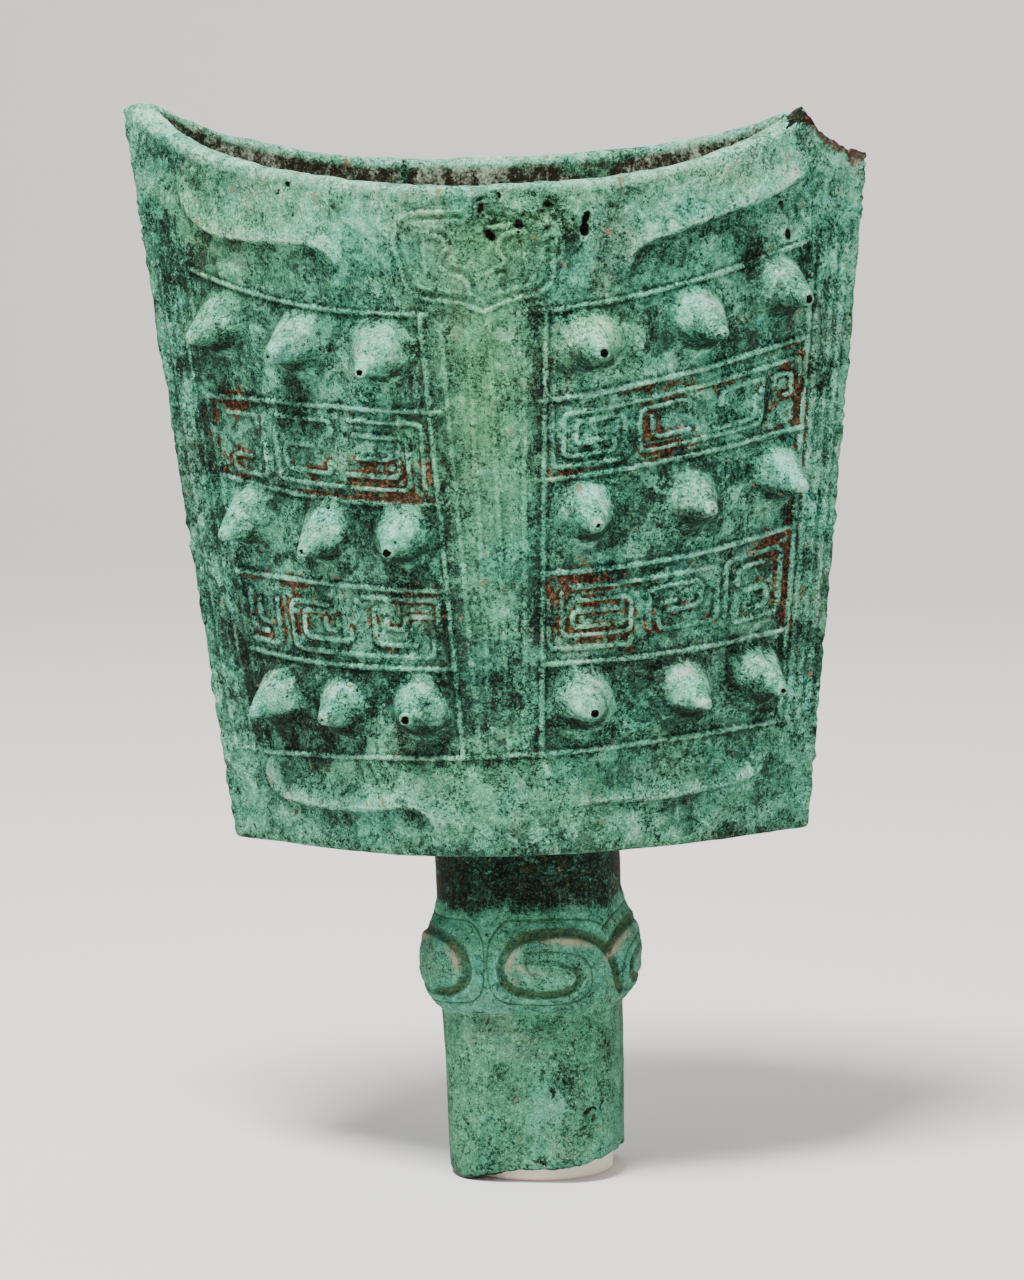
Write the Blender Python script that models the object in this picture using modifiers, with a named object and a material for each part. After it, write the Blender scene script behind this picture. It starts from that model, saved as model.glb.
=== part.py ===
"""A bronze nao bell, mouth upwards, on the round cloth-covered plug that its hollow shank stands over.

Metres, +Z up, the front faces -Y. The origin is the centre of the plug's underside.
"""

import math
from dataclasses import dataclass
from enum import IntEnum

import bmesh
import bpy
from mathutils import Matrix, Vector

# The bell's body: a lens in section, wider and deeper towards the mouth
SHANK_LENGTH = 0.1214
SIDE_HEIGHT = 0.263
HALF_WIDTH_BASE = 0.1025
HALF_WIDTH_MOUTH = 0.1325
HALF_DEPTH_BASE = 0.054
HALF_DEPTH_MOUTH = 0.080
WALL = 0.007
FLOOR = 0.008
FRONT_RIM_DIP = 0.0319
BACK_RIM_DIP = 0.0270
BASE_EDGE_ROUND = 0.003
BODY_OFFSET = -0.0023

# The rims as cast, a little uneven: the share of the dip at places from the left tip to the right one,
# in shares of the half width
FRONT_RIM = ((-1.0, 0.0), (-0.93, 0.285), (-0.82, 0.52), (-0.71, 0.665), (-0.60, 0.755), (-0.49, 0.83),
             (-0.33, 0.915), (-0.16, 0.975), (0.0, 1.0), (0.16, 0.98), (0.30, 0.975), (0.42, 0.935),
             (0.54, 0.866), (0.66, 0.745), (0.76, 0.60), (0.82, 0.44), (1.0, 0.0))
BACK_RIM = ((-1.0, 0.0), (-0.93, 0.225), (-0.82, 0.505), (-0.71, 0.645), (-0.60, 0.805), (-0.49, 0.895),
            (-0.33, 0.965), (-0.11, 1.0), (0.11, 0.98), (0.30, 0.93), (0.44, 0.875), (0.54, 0.77),
            (0.66, 0.69), (0.74, 0.60), (0.82, 0.42), (1.0, 0.0))

# The even curve that the ornament below the mouth is drawn up to
MOUTH_GUIDE_DIP = 0.030
MOUTH_GUIDE_CURVE = 2.6

# The shank: a rounded square outside and a round bore inside
SHANK_HALF_WIDTH_TOP = 0.0326
SHANK_HALF_WIDTH_LOW = 0.0307
SHANK_HALF_DEPTH_TOP = 0.0312
SHANK_HALF_DEPTH_LOW = 0.0305
SHANK_SQUARENESS = 3.0
BORE_RADIUS = 0.0279

# The ring round the shank, with a slow slope above and a quick one below
RING_BELOW_BODY = 0.022
RING_HEIGHT = 0.0375
RING_EDGE_GAP = 0.001
RING_BULGE = 0.0052
RING_SQUARENESS = 2.5
RING_SLOPE = ((0.0, 0.25), (0.07, 0.85), (0.5, 1.0), (0.8, 0.62), (1.0, 0.0))

# The broken lower edge of the shank: height above the ground at even steps from +X towards the back
BROKEN_EDGE = (0.0100, 0.0060, 0.0040, 0.0030, 0.0020, 0.0040, 0.0045, 0.0040, 0.0039, 0.0021, 0.0,
               0.0032, 0.0050, 0.0050, 0.0078, 0.0095)
CHIP_TOP = 0.020

# The way the bell leans, in degrees: towards -X, and towards -Y
LEAN_LEFT = 1.9
LEAN_FORWARD = 1.0

# The plug under the shank: its clearance leaves room for the lean
PLUG_CLEARANCE = 0.0009
PLUG_HEIGHT = 0.014
PLUG_TAPER = 0.0005
PLUG_EDGE = 0.0015

# The broken corner of the mouth, as shares of the half width and of the side height: it runs on through
# the bell turned by some degrees, so that the back wall has lost more
BREAK_OUTLINE = ((0.845, 1.10), (0.846, 0.9505), (0.866, 0.948), (0.8815, 0.9326), (0.916, 0.9235),
                 (0.945, 0.916), (0.961, 0.9085), (0.978, 0.893), (0.998, 0.900), (1.031, 0.898),
                 (1.15, 0.890), (1.15, 1.10))
BREAK_TURN = 11.0

# The bosses: how far a tip hangs is a share of the boss's height
BOSS_RADIUS = 0.0124
BOSS_HEIGHT = 0.0172
BOSS_DROOP = 0.10
BOSS_SINK = 0.0035
BOSS_SIDES = 8
BOSS_PROFILE = ((0.16, 1.0), (0.32, 0.80), (0.64, 0.39), (1.0, 0.0))

# The relief lines: thin cast lines, the stronger uprights that frame them, and the broad hooks at the
# mouth and the foot
LINE_HALF_WIDTH = 0.0011
LINE_RISE = 0.0010
UPRIGHT_HALF_WIDTH = 0.0012
UPRIGHT_RISE = 0.0013
HOOK_HALF_WIDTH = 0.0027
HOOK_RISE = 0.0017
RELIEF_SINK = 0.0010
LONGEST_SPAN = 0.019

# The spiral bosses of the ring
OVAL_COUNT = 5
OVAL_TURN = 14.0
OVAL_DROP = 0.0025
OVAL_HALF_WIDTH = 0.0172
OVAL_HALF_HEIGHT = 0.0130
OVAL_RISE = 0.0034
OVAL_DEPTH = 0.0060
OVAL_FOOT = 0.0012
OVAL_SIDES = 12
OVAL_LEVELS = 8
GROOVE_HALF_WIDTH = 0.0013
GROOVE_DEPTH = 0.0012

STEPS_A_FACE = 16
WELD = 1e-6
SLOPE_STEP = 1e-5


class Face(IntEnum):
    """The bell's two faces, by the sign of Y."""

    FRONT = -1
    BACK = 1


class Zone(IntEnum):
    """The zones between the lines across a face, from the mouth down."""

    MOUTH = 0
    BOSSES_HIGH = 1
    SCROLLS_HIGH = 2
    BOSSES_MIDDLE = 3
    SCROLLS_LOW = 4
    BOSSES_LOW = 5
    FOOT = 6


@dataclass(frozen=True)
class PanelLine:
    """One line across the face, at a share of the side height, rising from the middle to the sides."""

    left: float
    left_rise: float
    left_power: float
    right: float
    right_rise: float
    right_power: float

    def share(self, u):
        if u < 0:
            return self.left + self.left_rise * abs(u) ** self.left_power
        return self.right + self.right_rise * abs(u) ** self.right_power


# The six lines from the mouth down
LINES = (
    PanelLine(0.7205, 0.094, 3.0, 0.7186, 0.099, 2.1),
    PanelLine(0.5894, 0.024, 1.0, 0.6008, 0.082, 1.8),
    PanelLine(0.4715, 0.052, 3.0, 0.4981, 0.059, 1.75),
    PanelLine(0.3574, 0.023, 2.0, 0.3783, 0.054, 3.0),
    PanelLine(0.2536, 0.037, 5.0, 0.2578, 0.028, 3.3),
    PanelLine(0.1369, -0.012, 1.0, 0.1380, 0.0175, 1.5),
)
BOSS_ZONES = (Zone.BOSSES_HIGH, Zone.BOSSES_MIDDLE, Zone.BOSSES_LOW)

# The sides of the ornament panel and of the plain middle band, as shares of the half width
PANEL_LEFT = (-0.82, -0.865)
PANEL_RIGHT = (0.88, 0.88)
MIDDLE_LEFT = (-0.114, -0.162)
MIDDLE_RIGHT = (0.138, 0.184)
MIDDLE_INNER = 0.055

# Each row's bosses: the share of the half width, and the share of the zone's height
BOSS_PLACES = (
    ((-0.77, 0.62), (-0.53, 0.60), (-0.28, 0.60), (0.30, 0.56), (0.58, 0.54), (0.79, 0.62)),
    ((-0.75, 0.64), (-0.50, 0.61), (-0.25, 0.66), (0.28, 0.60), (0.575, 0.58), (0.81, 0.59)),
    ((-0.73, 0.56), (-0.50, 0.54), (-0.24, 0.56), (0.27, 0.55), (0.57, 0.55), (0.79, 0.56)),
)

# The scroll strokes: where each starts, in hundredths of the half width and of the band's height,
# then its legs left, right, up and down
UPPER_SCROLLS = (
    (-68, 50, "D37 L11 U20 R6"),
    (-79, 82, "R9 D14"),
    (-63, 85, "R17 D16"),
    (-64, 70, "D55 R41.5 U56 L16.5"),
    (-52, 56, "L9 D28 R14 U12"),
    (-40, 87, "R22 D69"),
    (-25.5, 45, "D16 L16"),
    (-38, 47, "R10 U10 L3"),
    (86.5, 46, "U34 L64 D54 R14 U17 L7.5"),
    (39.5, 33, "U36 L13.5 D29 R4"),
    (19.3, 93, "D79 R19"),
    (57, 55, "U14 L13.5 D52 R33 U50"),
    (47, 58, "D26 R10"),
    (76.5, 68, "L11 D17"),
    (63.5, 25, "R11.5 U25"),
    (79.5, 54, "U12 R5 D24 L2"),
)
LOWER_SCROLLS = (
    (-80, 79, "D50 R5"),
    (-70.5, 72, "D56 L10"),
    (-77, 68, "D26 R4"),
    (-53, 74, "L12.5 D59 R47 U31"),
    (-54.5, 65, "L7 D34 R16 U14"),
    (-54, 57, "D14 R4 U14"),
    (-41, 88, "R24.5 D38"),
    (-37.5, 74, "D44 R13"),
    (-33.5, 62, "D12 R6 U16 R8"),
    (24, 83, "R42.5 D56 L17 U28 R5"),
    (46.7, 30, "U42 R15 D26 L9"),
    (17, 80, "D64 R24.5 U8"),
    (21, 77, "D47 R20.5 U38 L17"),
    (37, 56, "L13 D17 R11"),
    (69, 29, "U55 R15.5 D64 L12"),
    (72.5, 57, "U17 R8"),
    (74, 50, "R7 D20 L6"),
)
BACK_SCROLLS = (
    (-78, 81, "R24 D62 L18 U34"),
    (-47, 81, "R27 D62 L21 U34"),
    (76, 81, "L25 D62 R19 U34"),
    (45, 81, "L25 D62 R19 U34"),
)

# The mask frame over the middle band and the hooks, as points in hundredths
MASK_STROKES = (
    ((-16, 74), (-20.5, 50), (-20.6, 23), (-17, 15), (1.7, 4), (17, 23), (19, 55)),
    ((-6.4, 65), (-11.8, 58), (-11.8, 40), (-7, 33)),
    ((-7, 30), (-1, 25), (1, 14)),
    ((5, 62), (13, 58), (13, 36), (6, 30)),
    ((23.3, 62), (23, 18)),
)
MOUTH_HOOKS = (
    ((-85, 55), (-82.5, 39), (-76, 36), (-62, 44), (-47, 51), (-41, 47), (-38.5, 36), (-38, 26)),
    ((85.5, 55), (74, 49), (64, 48.5), (54, 45), (44.6, 43.5), (41.4, 38), (39, 17)),
)
FOOT_HOOKS = (
    ((-83, 92), (-80.5, 61), (-76, 53), (-60, 46), (-44, 47), (-31, 54), (-24, 46), (-22.4, 26)),
    ((85, 69), (79.5, 55), (67, 51), (51, 48), (35, 51), (26.5, 51), (23.8, 38)),
)
OVAL_SPIRAL_TURNS = 1.35
OVAL_SPIRAL_POINTS = 10
OVAL_SPIRAL_REACH = (0.16, 0.74)

BRONZE_GREEN = (0.10, 0.27, 0.20, 1.0)
LINEN = (0.72, 0.66, 0.56, 1.0)


def clear_scene():
    for obj in list(bpy.data.objects):
        bpy.data.objects.remove(obj, do_unlink=True)


def new_collection(name):
    found = bpy.data.collections.new(name)
    bpy.context.scene.collection.children.link(found)
    return found


def link_mesh(name, bm, collection):
    mesh = bpy.data.meshes.new(name)
    bm.to_mesh(mesh)
    bm.free()
    obj = bpy.data.objects.new(name, mesh)
    collection.objects.link(obj)
    return obj


def hide_as_tool(obj):
    obj.hide_render = True
    obj.display_type = "WIRE"


def material(name, colour, roughness, metallic):
    made = bpy.data.materials.new(name)
    made.use_nodes = True
    shader = made.node_tree.nodes["Principled BSDF"]
    shader.inputs["Base Color"].default_value = colour
    shader.inputs["Roughness"].default_value = roughness
    shader.inputs["Metallic"].default_value = metallic
    return made


def mix(low, high, share):
    return low + (high - low) * share


# The body's form

def half_width(z):
    return mix(HALF_WIDTH_BASE, HALF_WIDTH_MOUTH, (z - SHANK_LENGTH) / SIDE_HEIGHT)


def half_depth(z):
    return mix(HALF_DEPTH_BASE, HALF_DEPTH_MOUTH, (z - SHANK_LENGTH) / SIDE_HEIGHT)


def value_at(table, place):
    """The value at one place of a table of (place, value), in straight steps."""
    for (low, first), (high, last) in zip(table, table[1:]):
        if place <= high:
            return mix(first, last, (place - low) / (high - low))
    return table[-1][1]


def rim_height(side, u):
    """The rim dips between its two tips, more at the front."""
    dip, shape = (FRONT_RIM_DIP, FRONT_RIM) if side == Face.FRONT else (BACK_RIM_DIP, BACK_RIM)
    return SHANK_LENGTH + SIDE_HEIGHT - dip * value_at(shape, u)


def mouth_guide(u):
    """The height of the curve that the ornament below the mouth is drawn up to."""
    return SHANK_LENGTH + SIDE_HEIGHT - MOUTH_GUIDE_DIP * (1 - abs(u) ** MOUTH_GUIDE_CURVE)


def inner_rim_height(side, u):
    """The height of the rim's inner edge, level with the outer edge beside it."""
    z = rim_height(side, u)
    across = body_point(side, u, z, WALL).x - BODY_OFFSET
    return rim_height(side, across / half_width(z))


def body_point(side, u, z, inset=0.0):
    """A point of the body's wall: u runs from the left ridge, -1, to the right ridge, 1."""
    width = half_width(z)
    depth = half_depth(z)
    ridge_angle = math.atan(depth * math.pi / 2 / width)
    across = (width - inset / math.sin(ridge_angle)) * u
    return Vector((BODY_OFFSET + across, side * (depth - inset) * math.cos(math.pi * u / 2), z))


def round_the_lens():
    """(side, u) of each point round the body, from the right ridge by the back to the left ridge."""
    back = [(Face.BACK, 1 - 2 * k / STEPS_A_FACE) for k in range(STEPS_A_FACE)]
    front = [(Face.FRONT, -1 + 2 * k / STEPS_A_FACE) for k in range(STEPS_A_FACE)]
    return back + front


def lens_ring(height_at, inset=0.0):
    return [body_point(side, u, height_at(side, u), inset) for side, u in round_the_lens()]


def level(z):
    return lambda side, u: z


def above_base(share):
    """Heights this share of the way from the body's foot to its rim."""
    low = SHANK_LENGTH + BASE_EDGE_ROUND
    return lambda side, u: mix(low, rim_height(side, u), share)


def turn_angles():
    count = 2 * STEPS_A_FACE
    return [2 * math.pi * k / count for k in range(count)]


def rounded_square(angle, half_x, half_y, squareness):
    reach = abs(math.cos(angle)) ** squareness + abs(math.sin(angle)) ** squareness
    radius = reach ** (-1 / squareness)
    return half_x * radius * math.cos(angle), half_y * radius * math.sin(angle)


def shank_ring(z, bulge=0.0, squareness=SHANK_SQUARENESS):
    share = z / SHANK_LENGTH
    half_x = mix(SHANK_HALF_WIDTH_LOW, SHANK_HALF_WIDTH_TOP, share) + bulge
    half_y = mix(SHANK_HALF_DEPTH_LOW, SHANK_HALF_DEPTH_TOP, share) + bulge
    return [Vector((*rounded_square(a, half_x, half_y, squareness), z)) for a in turn_angles()]


def bore_ring(z):
    return [Vector((BORE_RADIUS * math.cos(a), BORE_RADIUS * math.sin(a), z)) for a in turn_angles()]


def broken_height(angle):
    """Height of the shank's lower edge above the ground."""
    place = angle / (2 * math.pi) * len(BROKEN_EDGE)
    low = int(place)
    return mix(BROKEN_EDGE[low], BROKEN_EDGE[(low + 1) % len(BROKEN_EDGE)], place - low)


def at_ground_height(ring):
    """The ring with each point raised or lowered so that, leaning, it ends at the broken edge."""
    left = math.radians(LEAN_LEFT)
    forward = math.radians(LEAN_FORWARD)
    moved = []
    for angle, point in zip(turn_angles(), ring):
        upright = (broken_height(angle) - math.sin(forward) * point.y) / math.cos(forward)
        moved.append(Vector((point.x, point.y, (upright - math.sin(left) * point.x) / math.cos(left))))
    return moved


def ring_bulges():
    """(height, bulge) up the ring round the shank."""
    low = SHANK_LENGTH - RING_BELOW_BODY - RING_HEIGHT
    return [(low + RING_HEIGHT * share, RING_BULGE * part) for share, part in RING_SLOPE]


def bell_casting(collection):
    """The plain casting: shank, ring, body and rim outside, then the wall, floor and bore inside."""
    foot = SHANK_LENGTH + FLOOR
    loops = [at_ground_height(shank_ring(0.0)), shank_ring(CHIP_TOP)]
    loops.append(shank_ring(ring_bulges()[0][0] - RING_EDGE_GAP))
    loops += [shank_ring(z, bulge, RING_SQUARENESS) for z, bulge in ring_bulges()]
    loops.append(shank_ring(SHANK_LENGTH))
    loops.append(lens_ring(level(SHANK_LENGTH), BASE_EDGE_ROUND / 2))
    loops += [lens_ring(above_base(share)) for share in (0.0, 1.0)]
    loops.append(lens_ring(inner_rim_height, WALL))
    loops.append(lens_ring(level(foot), WALL))
    loops.append(bore_ring(foot))
    loops.append(at_ground_height(bore_ring(0.0)))

    bm = bmesh.new()
    rings = [[bm.verts.new(point) for point in loop] for loop in loops]
    for lower, upper in zip(rings, rings[1:] + rings[:1]):
        sides = zip(lower, lower[1:] + lower[:1], upper[1:] + upper[:1], upper)
        for corners in sides:
            bm.faces.new(corners)
    bmesh.ops.recalc_face_normals(bm, faces=bm.faces)
    return link_mesh("bell", bm, collection)


# Drawing on the body: a flat stroke is made first, then laid on the curved face

def zone_height(zone, u, share):
    """The height of a share of the way up a zone between two lines, the base or the mouth's guide."""
    low = LINES[zone].share(u) if zone < len(LINES) else 0.0
    low_z = SHANK_LENGTH + SIDE_HEIGHT * low
    if zone == Zone.MOUTH:
        return mix(low_z, mouth_guide(u), share)
    return mix(low_z, SHANK_LENGTH + SIDE_HEIGHT * LINES[zone - 1].share(u), share)


def face_place(u, z):
    """(across, up) on the flat drawing of a face."""
    return half_width(z) * u, z


def on_face(side, across, up, rise):
    """The drawing's point on the bell, this far off the surface. The back is drawn as seen from behind."""
    def surface(x, z):
        return body_point(side, -side * x / half_width(z), z)

    here = surface(across, up)
    along = surface(across + SLOPE_STEP, up) - here
    over = surface(across, up + SLOPE_STEP) - here
    return here + along.cross(over).normalized() * rise


def walk(start_u, start_share, legs):
    """The corners of a stroke of straight legs, in hundredths."""
    turns = {"L": (-1, 0), "R": (1, 0), "U": (0, 1), "D": (0, -1)}
    points = [(start_u, start_share)]
    for leg in legs.split():
        way = turns[leg[0]]
        length = float(leg[1:])
        u, share = points[-1]
        points.append((u + way[0] * length, share + way[1] * length))
    return points


def zone_path(zone, points):
    """Drawing places along a stroke in a zone, with long legs parted so that they follow the curve."""
    path = []
    for (u0, t0), (u1, t1) in zip(points, points[1:]):
        reach = abs(u1 - u0) / 100 * HALF_WIDTH_BASE
        parts = max(1, math.ceil(reach / LONGEST_SPAN))
        for k in range(parts):
            u = mix(u0, u1, k / parts) / 100
            path.append(face_place(u, zone_height(zone, u, mix(t0, t1, k / parts) / 100)))
    last_u = points[-1][0] / 100
    path.append(face_place(last_u, zone_height(zone, last_u, points[-1][1] / 100)))
    return path


def flat_curve(name, points, cyclic, collection):
    data = bpy.data.curves.new(name, "CURVE")
    data.dimensions = "2D"
    spline = data.splines.new("POLY")
    spline.points.add(len(points) - 1)
    for point, place in zip(spline.points, points):
        point.co = (*place, 0.0, 1.0)
    spline.use_cyclic_u = cyclic
    obj = bpy.data.objects.new(name, data)
    collection.objects.link(obj)
    return obj


def ridge_profile(name, half_foot, rise, collection):
    """A low three-sided section: its foot is sunk in the wall, its crest stands proud."""
    points = [(-half_foot, -RELIEF_SINK), (half_foot, -RELIEF_SINK), (0.0, rise)]
    profile = flat_curve(name, points, True, collection)
    hide_as_tool(profile)
    return profile


def swept_mesh(path, profile, collection):
    """A bmesh of the section swept along a flat path, with its caps joined on."""
    curve = flat_curve("stroke", path, False, collection)
    curve.data.bevel_mode = "OBJECT"
    curve.data.bevel_object = profile
    curve.data.use_fill_caps = True
    graph = bpy.context.evaluated_depsgraph_get()
    mesh = bpy.data.meshes.new_from_object(curve.evaluated_get(graph))
    bpy.data.objects.remove(curve, do_unlink=True)
    bm = bmesh.new()
    bm.from_mesh(mesh)
    bpy.data.meshes.remove(mesh)
    bmesh.ops.remove_doubles(bm, verts=bm.verts, dist=WELD)
    bmesh.ops.recalc_face_normals(bm, faces=bm.faces)
    return bm


def stroke(name, path, side, profile, collection):
    """One cast line on a face, ready to be joined to the casting."""
    bm = swept_mesh(path, profile, collection)
    for vert in bm.verts:
        vert.co = on_face(side, vert.co.x, vert.co.y, vert.co.z)
    return link_mesh(name, bm, collection)


def upright_path(low_u, high_u, low_line, high_line):
    """A line up a face between two of the lines across it."""
    low = SHANK_LENGTH + SIDE_HEIGHT * LINES[low_line].share(low_u)
    high = SHANK_LENGTH + SIDE_HEIGHT * LINES[high_line].share(high_u)
    return [face_place(low_u, low), face_place(high_u, high)]


def line_across(line, from_u, to_u):
    parts = math.ceil(abs(to_u - from_u) * HALF_WIDTH_BASE / LONGEST_SPAN)
    path = []
    for k in range(parts + 1):
        u = mix(from_u, to_u, k / parts)
        path.append(face_place(u, SHANK_LENGTH + SIDE_HEIGHT * line.share(u)))
    return path


def row_lines():
    """The paths of the lines across the panel. Only the lowest runs on across the middle band."""
    paths = []
    for line in LINES[:-1]:
        up = line.share(0.0)
        paths.append(line_across(line, mix(*PANEL_LEFT, up), mix(*MIDDLE_LEFT, up)))
        paths.append(line_across(line, mix(*MIDDLE_RIGHT, up), mix(*PANEL_RIGHT, up)))
    lowest = LINES[-1]
    up = lowest.share(0.0)
    paths.append(line_across(lowest, mix(*PANEL_LEFT, up), mix(*PANEL_RIGHT, up)))
    return paths


def uprights():
    """The paths of the lines at the sides of the panel and of the middle band."""
    last = len(LINES) - 1
    paths = []
    for low_u, high_u in (PANEL_LEFT, PANEL_RIGHT, MIDDLE_LEFT, MIDDLE_RIGHT):
        paths.append(upright_path(low_u, high_u, last, 0))
    for low_u, high_u in (MIDDLE_LEFT, MIDDLE_RIGHT):
        inward = -math.copysign(MIDDLE_INNER, low_u)
        paths.append(upright_path(low_u + inward, high_u + inward, last, 0))
    return paths


def scroll_paths(zone, scrolls):
    return [zone_path(zone, walk(*scroll)) for scroll in scrolls]


def add_relief(tools):
    """The lines, scrolls and hooks of both faces."""
    thin = ridge_profile("line_section", LINE_HALF_WIDTH, LINE_RISE, tools)
    strong = ridge_profile("upright_section", UPRIGHT_HALF_WIDTH, UPRIGHT_RISE, tools)
    broad = ridge_profile("hook_section", HOOK_HALF_WIDTH, HOOK_RISE, tools)
    fine = {
        Face.FRONT: row_lines() + scroll_paths(Zone.SCROLLS_HIGH, UPPER_SCROLLS)
        + scroll_paths(Zone.SCROLLS_LOW, LOWER_SCROLLS)
        + [zone_path(Zone.MOUTH, points) for points in MASK_STROKES],
        Face.BACK: row_lines() + scroll_paths(Zone.SCROLLS_HIGH, BACK_SCROLLS)
        + scroll_paths(Zone.SCROLLS_LOW, BACK_SCROLLS),
    }
    hooks = [zone_path(Zone.MOUTH, points) for points in MOUTH_HOOKS]
    hooks += [zone_path(Zone.FOOT, points) for points in FOOT_HOOKS]
    made = []
    for side, paths in fine.items():
        made += [stroke("line", path, side, thin, tools) for path in paths]
        made += [stroke("upright", path, side, strong, tools) for path in uprights()]
        made += [stroke("hook", path, side, broad, tools) for path in hooks]
    for profile in (thin, strong, broad):
        bpy.data.objects.remove(profile, do_unlink=True)
    return made


def boss_mesh(tools):
    """A boss turned from its profile: a low dome drawn up to a blunt point that hangs a little."""
    bm = bmesh.new()
    outline = [(0.0, BOSS_PROFILE[0][1] * BOSS_HEIGHT)]
    outline += [(BOSS_RADIUS * r, BOSS_HEIGHT * h) for r, h in BOSS_PROFILE]
    outline += [(BOSS_RADIUS, -BOSS_SINK), (0.0, -BOSS_SINK)]
    verts = [bm.verts.new((x, 0.0, z)) for x, z in outline]
    for a, b in zip(verts, verts[1:]):
        bm.edges.new((a, b))
    pattern = link_mesh("boss_pattern", bm, tools)
    screw = pattern.modifiers.new("Turn", "SCREW")
    screw.steps = BOSS_SIDES
    screw.render_steps = BOSS_SIDES
    screw.use_merge_vertices = True
    screw.merge_threshold = WELD
    graph = bpy.context.evaluated_depsgraph_get()
    mesh = bpy.data.meshes.new_from_object(pattern.evaluated_get(graph))
    bpy.data.objects.remove(pattern, do_unlink=True)
    for vert in mesh.vertices:
        vert.co.y -= BOSS_DROOP * vert.co.z
    return mesh


def add_bosses(tools):
    mesh = boss_mesh(tools)
    made = []
    for side in (Face.FRONT, Face.BACK):
        for zone, places in zip(BOSS_ZONES, BOSS_PLACES):
            for u, share in places:
                across, up = face_place(u, zone_height(zone, u, share))
                foot = on_face(side, across, up, 0.0)
                outward = on_face(side, across, up, BOSS_HEIGHT) - foot
                turn = outward.to_track_quat("Z", "Y").to_matrix().to_4x4()
                boss = bpy.data.objects.new("boss", mesh)
                boss.matrix_world = Matrix.Translation(foot) @ turn
                tools.objects.link(boss)
                made.append(boss)
    return made


# The ring's spiral bosses

def oval_frames():
    """A frame at each spiral boss: its origin on the ring, +Z outwards and +Y up."""
    middle = SHANK_LENGTH - RING_BELOW_BODY - RING_HEIGHT / 2 - OVAL_DROP
    half_x = mix(SHANK_HALF_WIDTH_LOW, SHANK_HALF_WIDTH_TOP, middle / SHANK_LENGTH) + RING_BULGE
    half_y = mix(SHANK_HALF_DEPTH_LOW, SHANK_HALF_DEPTH_TOP, middle / SHANK_LENGTH) + RING_BULGE
    frames = []
    for k in range(OVAL_COUNT):
        angle = math.radians(-90 + OVAL_TURN + 360 / OVAL_COUNT * k)
        x, y = rounded_square(angle, half_x, half_y, RING_SQUARENESS)
        turn = Matrix.Rotation(angle + math.pi / 2, 4, "Z") @ Matrix.Rotation(math.pi / 2, 4, "X")
        frames.append(Matrix.Translation((x, y, middle)) @ turn)
    return frames


def dome_height(x, y):
    """How far an oval's dome stands off its frame."""
    reach = (x / OVAL_HALF_WIDTH) ** 2 + (y / OVAL_HALF_HEIGHT) ** 2
    total = OVAL_RISE + OVAL_DEPTH
    return total * math.sqrt(max(0.0, 1 - reach)) - OVAL_DEPTH


def add_ovals(tools):
    made = []
    for frame in oval_frames():
        bm = bmesh.new()
        bmesh.ops.create_uvsphere(bm, u_segments=OVAL_SIDES, v_segments=OVAL_LEVELS, radius=1.0)
        size = Matrix.Diagonal((OVAL_HALF_WIDTH, OVAL_HALF_HEIGHT, OVAL_RISE + OVAL_DEPTH, 1.0))
        bmesh.ops.transform(bm, matrix=size, verts=bm.verts)
        parts = list(bm.verts) + list(bm.edges) + list(bm.faces)
        bmesh.ops.bisect_plane(bm, geom=parts, plane_co=(0.0, 0.0, OVAL_FOOT), plane_no=(0.0, 0.0, 1.0),
                               clear_inner=True)
        bmesh.ops.holes_fill(bm, edges=[edge for edge in bm.edges if edge.is_boundary])
        place = frame @ Matrix.Translation((0.0, 0.0, -OVAL_DEPTH))
        bmesh.ops.transform(bm, matrix=place, verts=bm.verts)
        made.append(link_mesh("oval", bm, tools))
    return made


def oval_spiral():
    """A spiral from the middle of an oval out towards its edge."""
    inner, outer = OVAL_SPIRAL_REACH
    points = []
    for k in range(OVAL_SPIRAL_POINTS):
        share = k / (OVAL_SPIRAL_POINTS - 1)
        angle = 2 * math.pi * OVAL_SPIRAL_TURNS * share
        reach = mix(inner, outer, share)
        points.append((OVAL_HALF_WIDTH * reach * math.cos(angle), OVAL_HALF_HEIGHT * reach * math.sin(angle)))
    return points


def add_grooves(tools, cutters):
    """The spiral grooves: a wedge laid along each oval, its edge down in the metal."""
    section = [(-GROOVE_HALF_WIDTH, GROOVE_DEPTH), (0.0, -GROOVE_DEPTH), (GROOVE_HALF_WIDTH, GROOVE_DEPTH)]
    profile = flat_curve("groove_section", section, True, tools)
    made = []
    for frame in oval_frames():
        bm = swept_mesh(oval_spiral(), profile, tools)
        for vert in bm.verts:
            vert.co = frame @ Vector((vert.co.x, vert.co.y, dome_height(vert.co.x, vert.co.y) + vert.co.z))
        made.append(link_mesh("groove", bm, cutters))
    bpy.data.objects.remove(profile, do_unlink=True)
    return made


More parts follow.
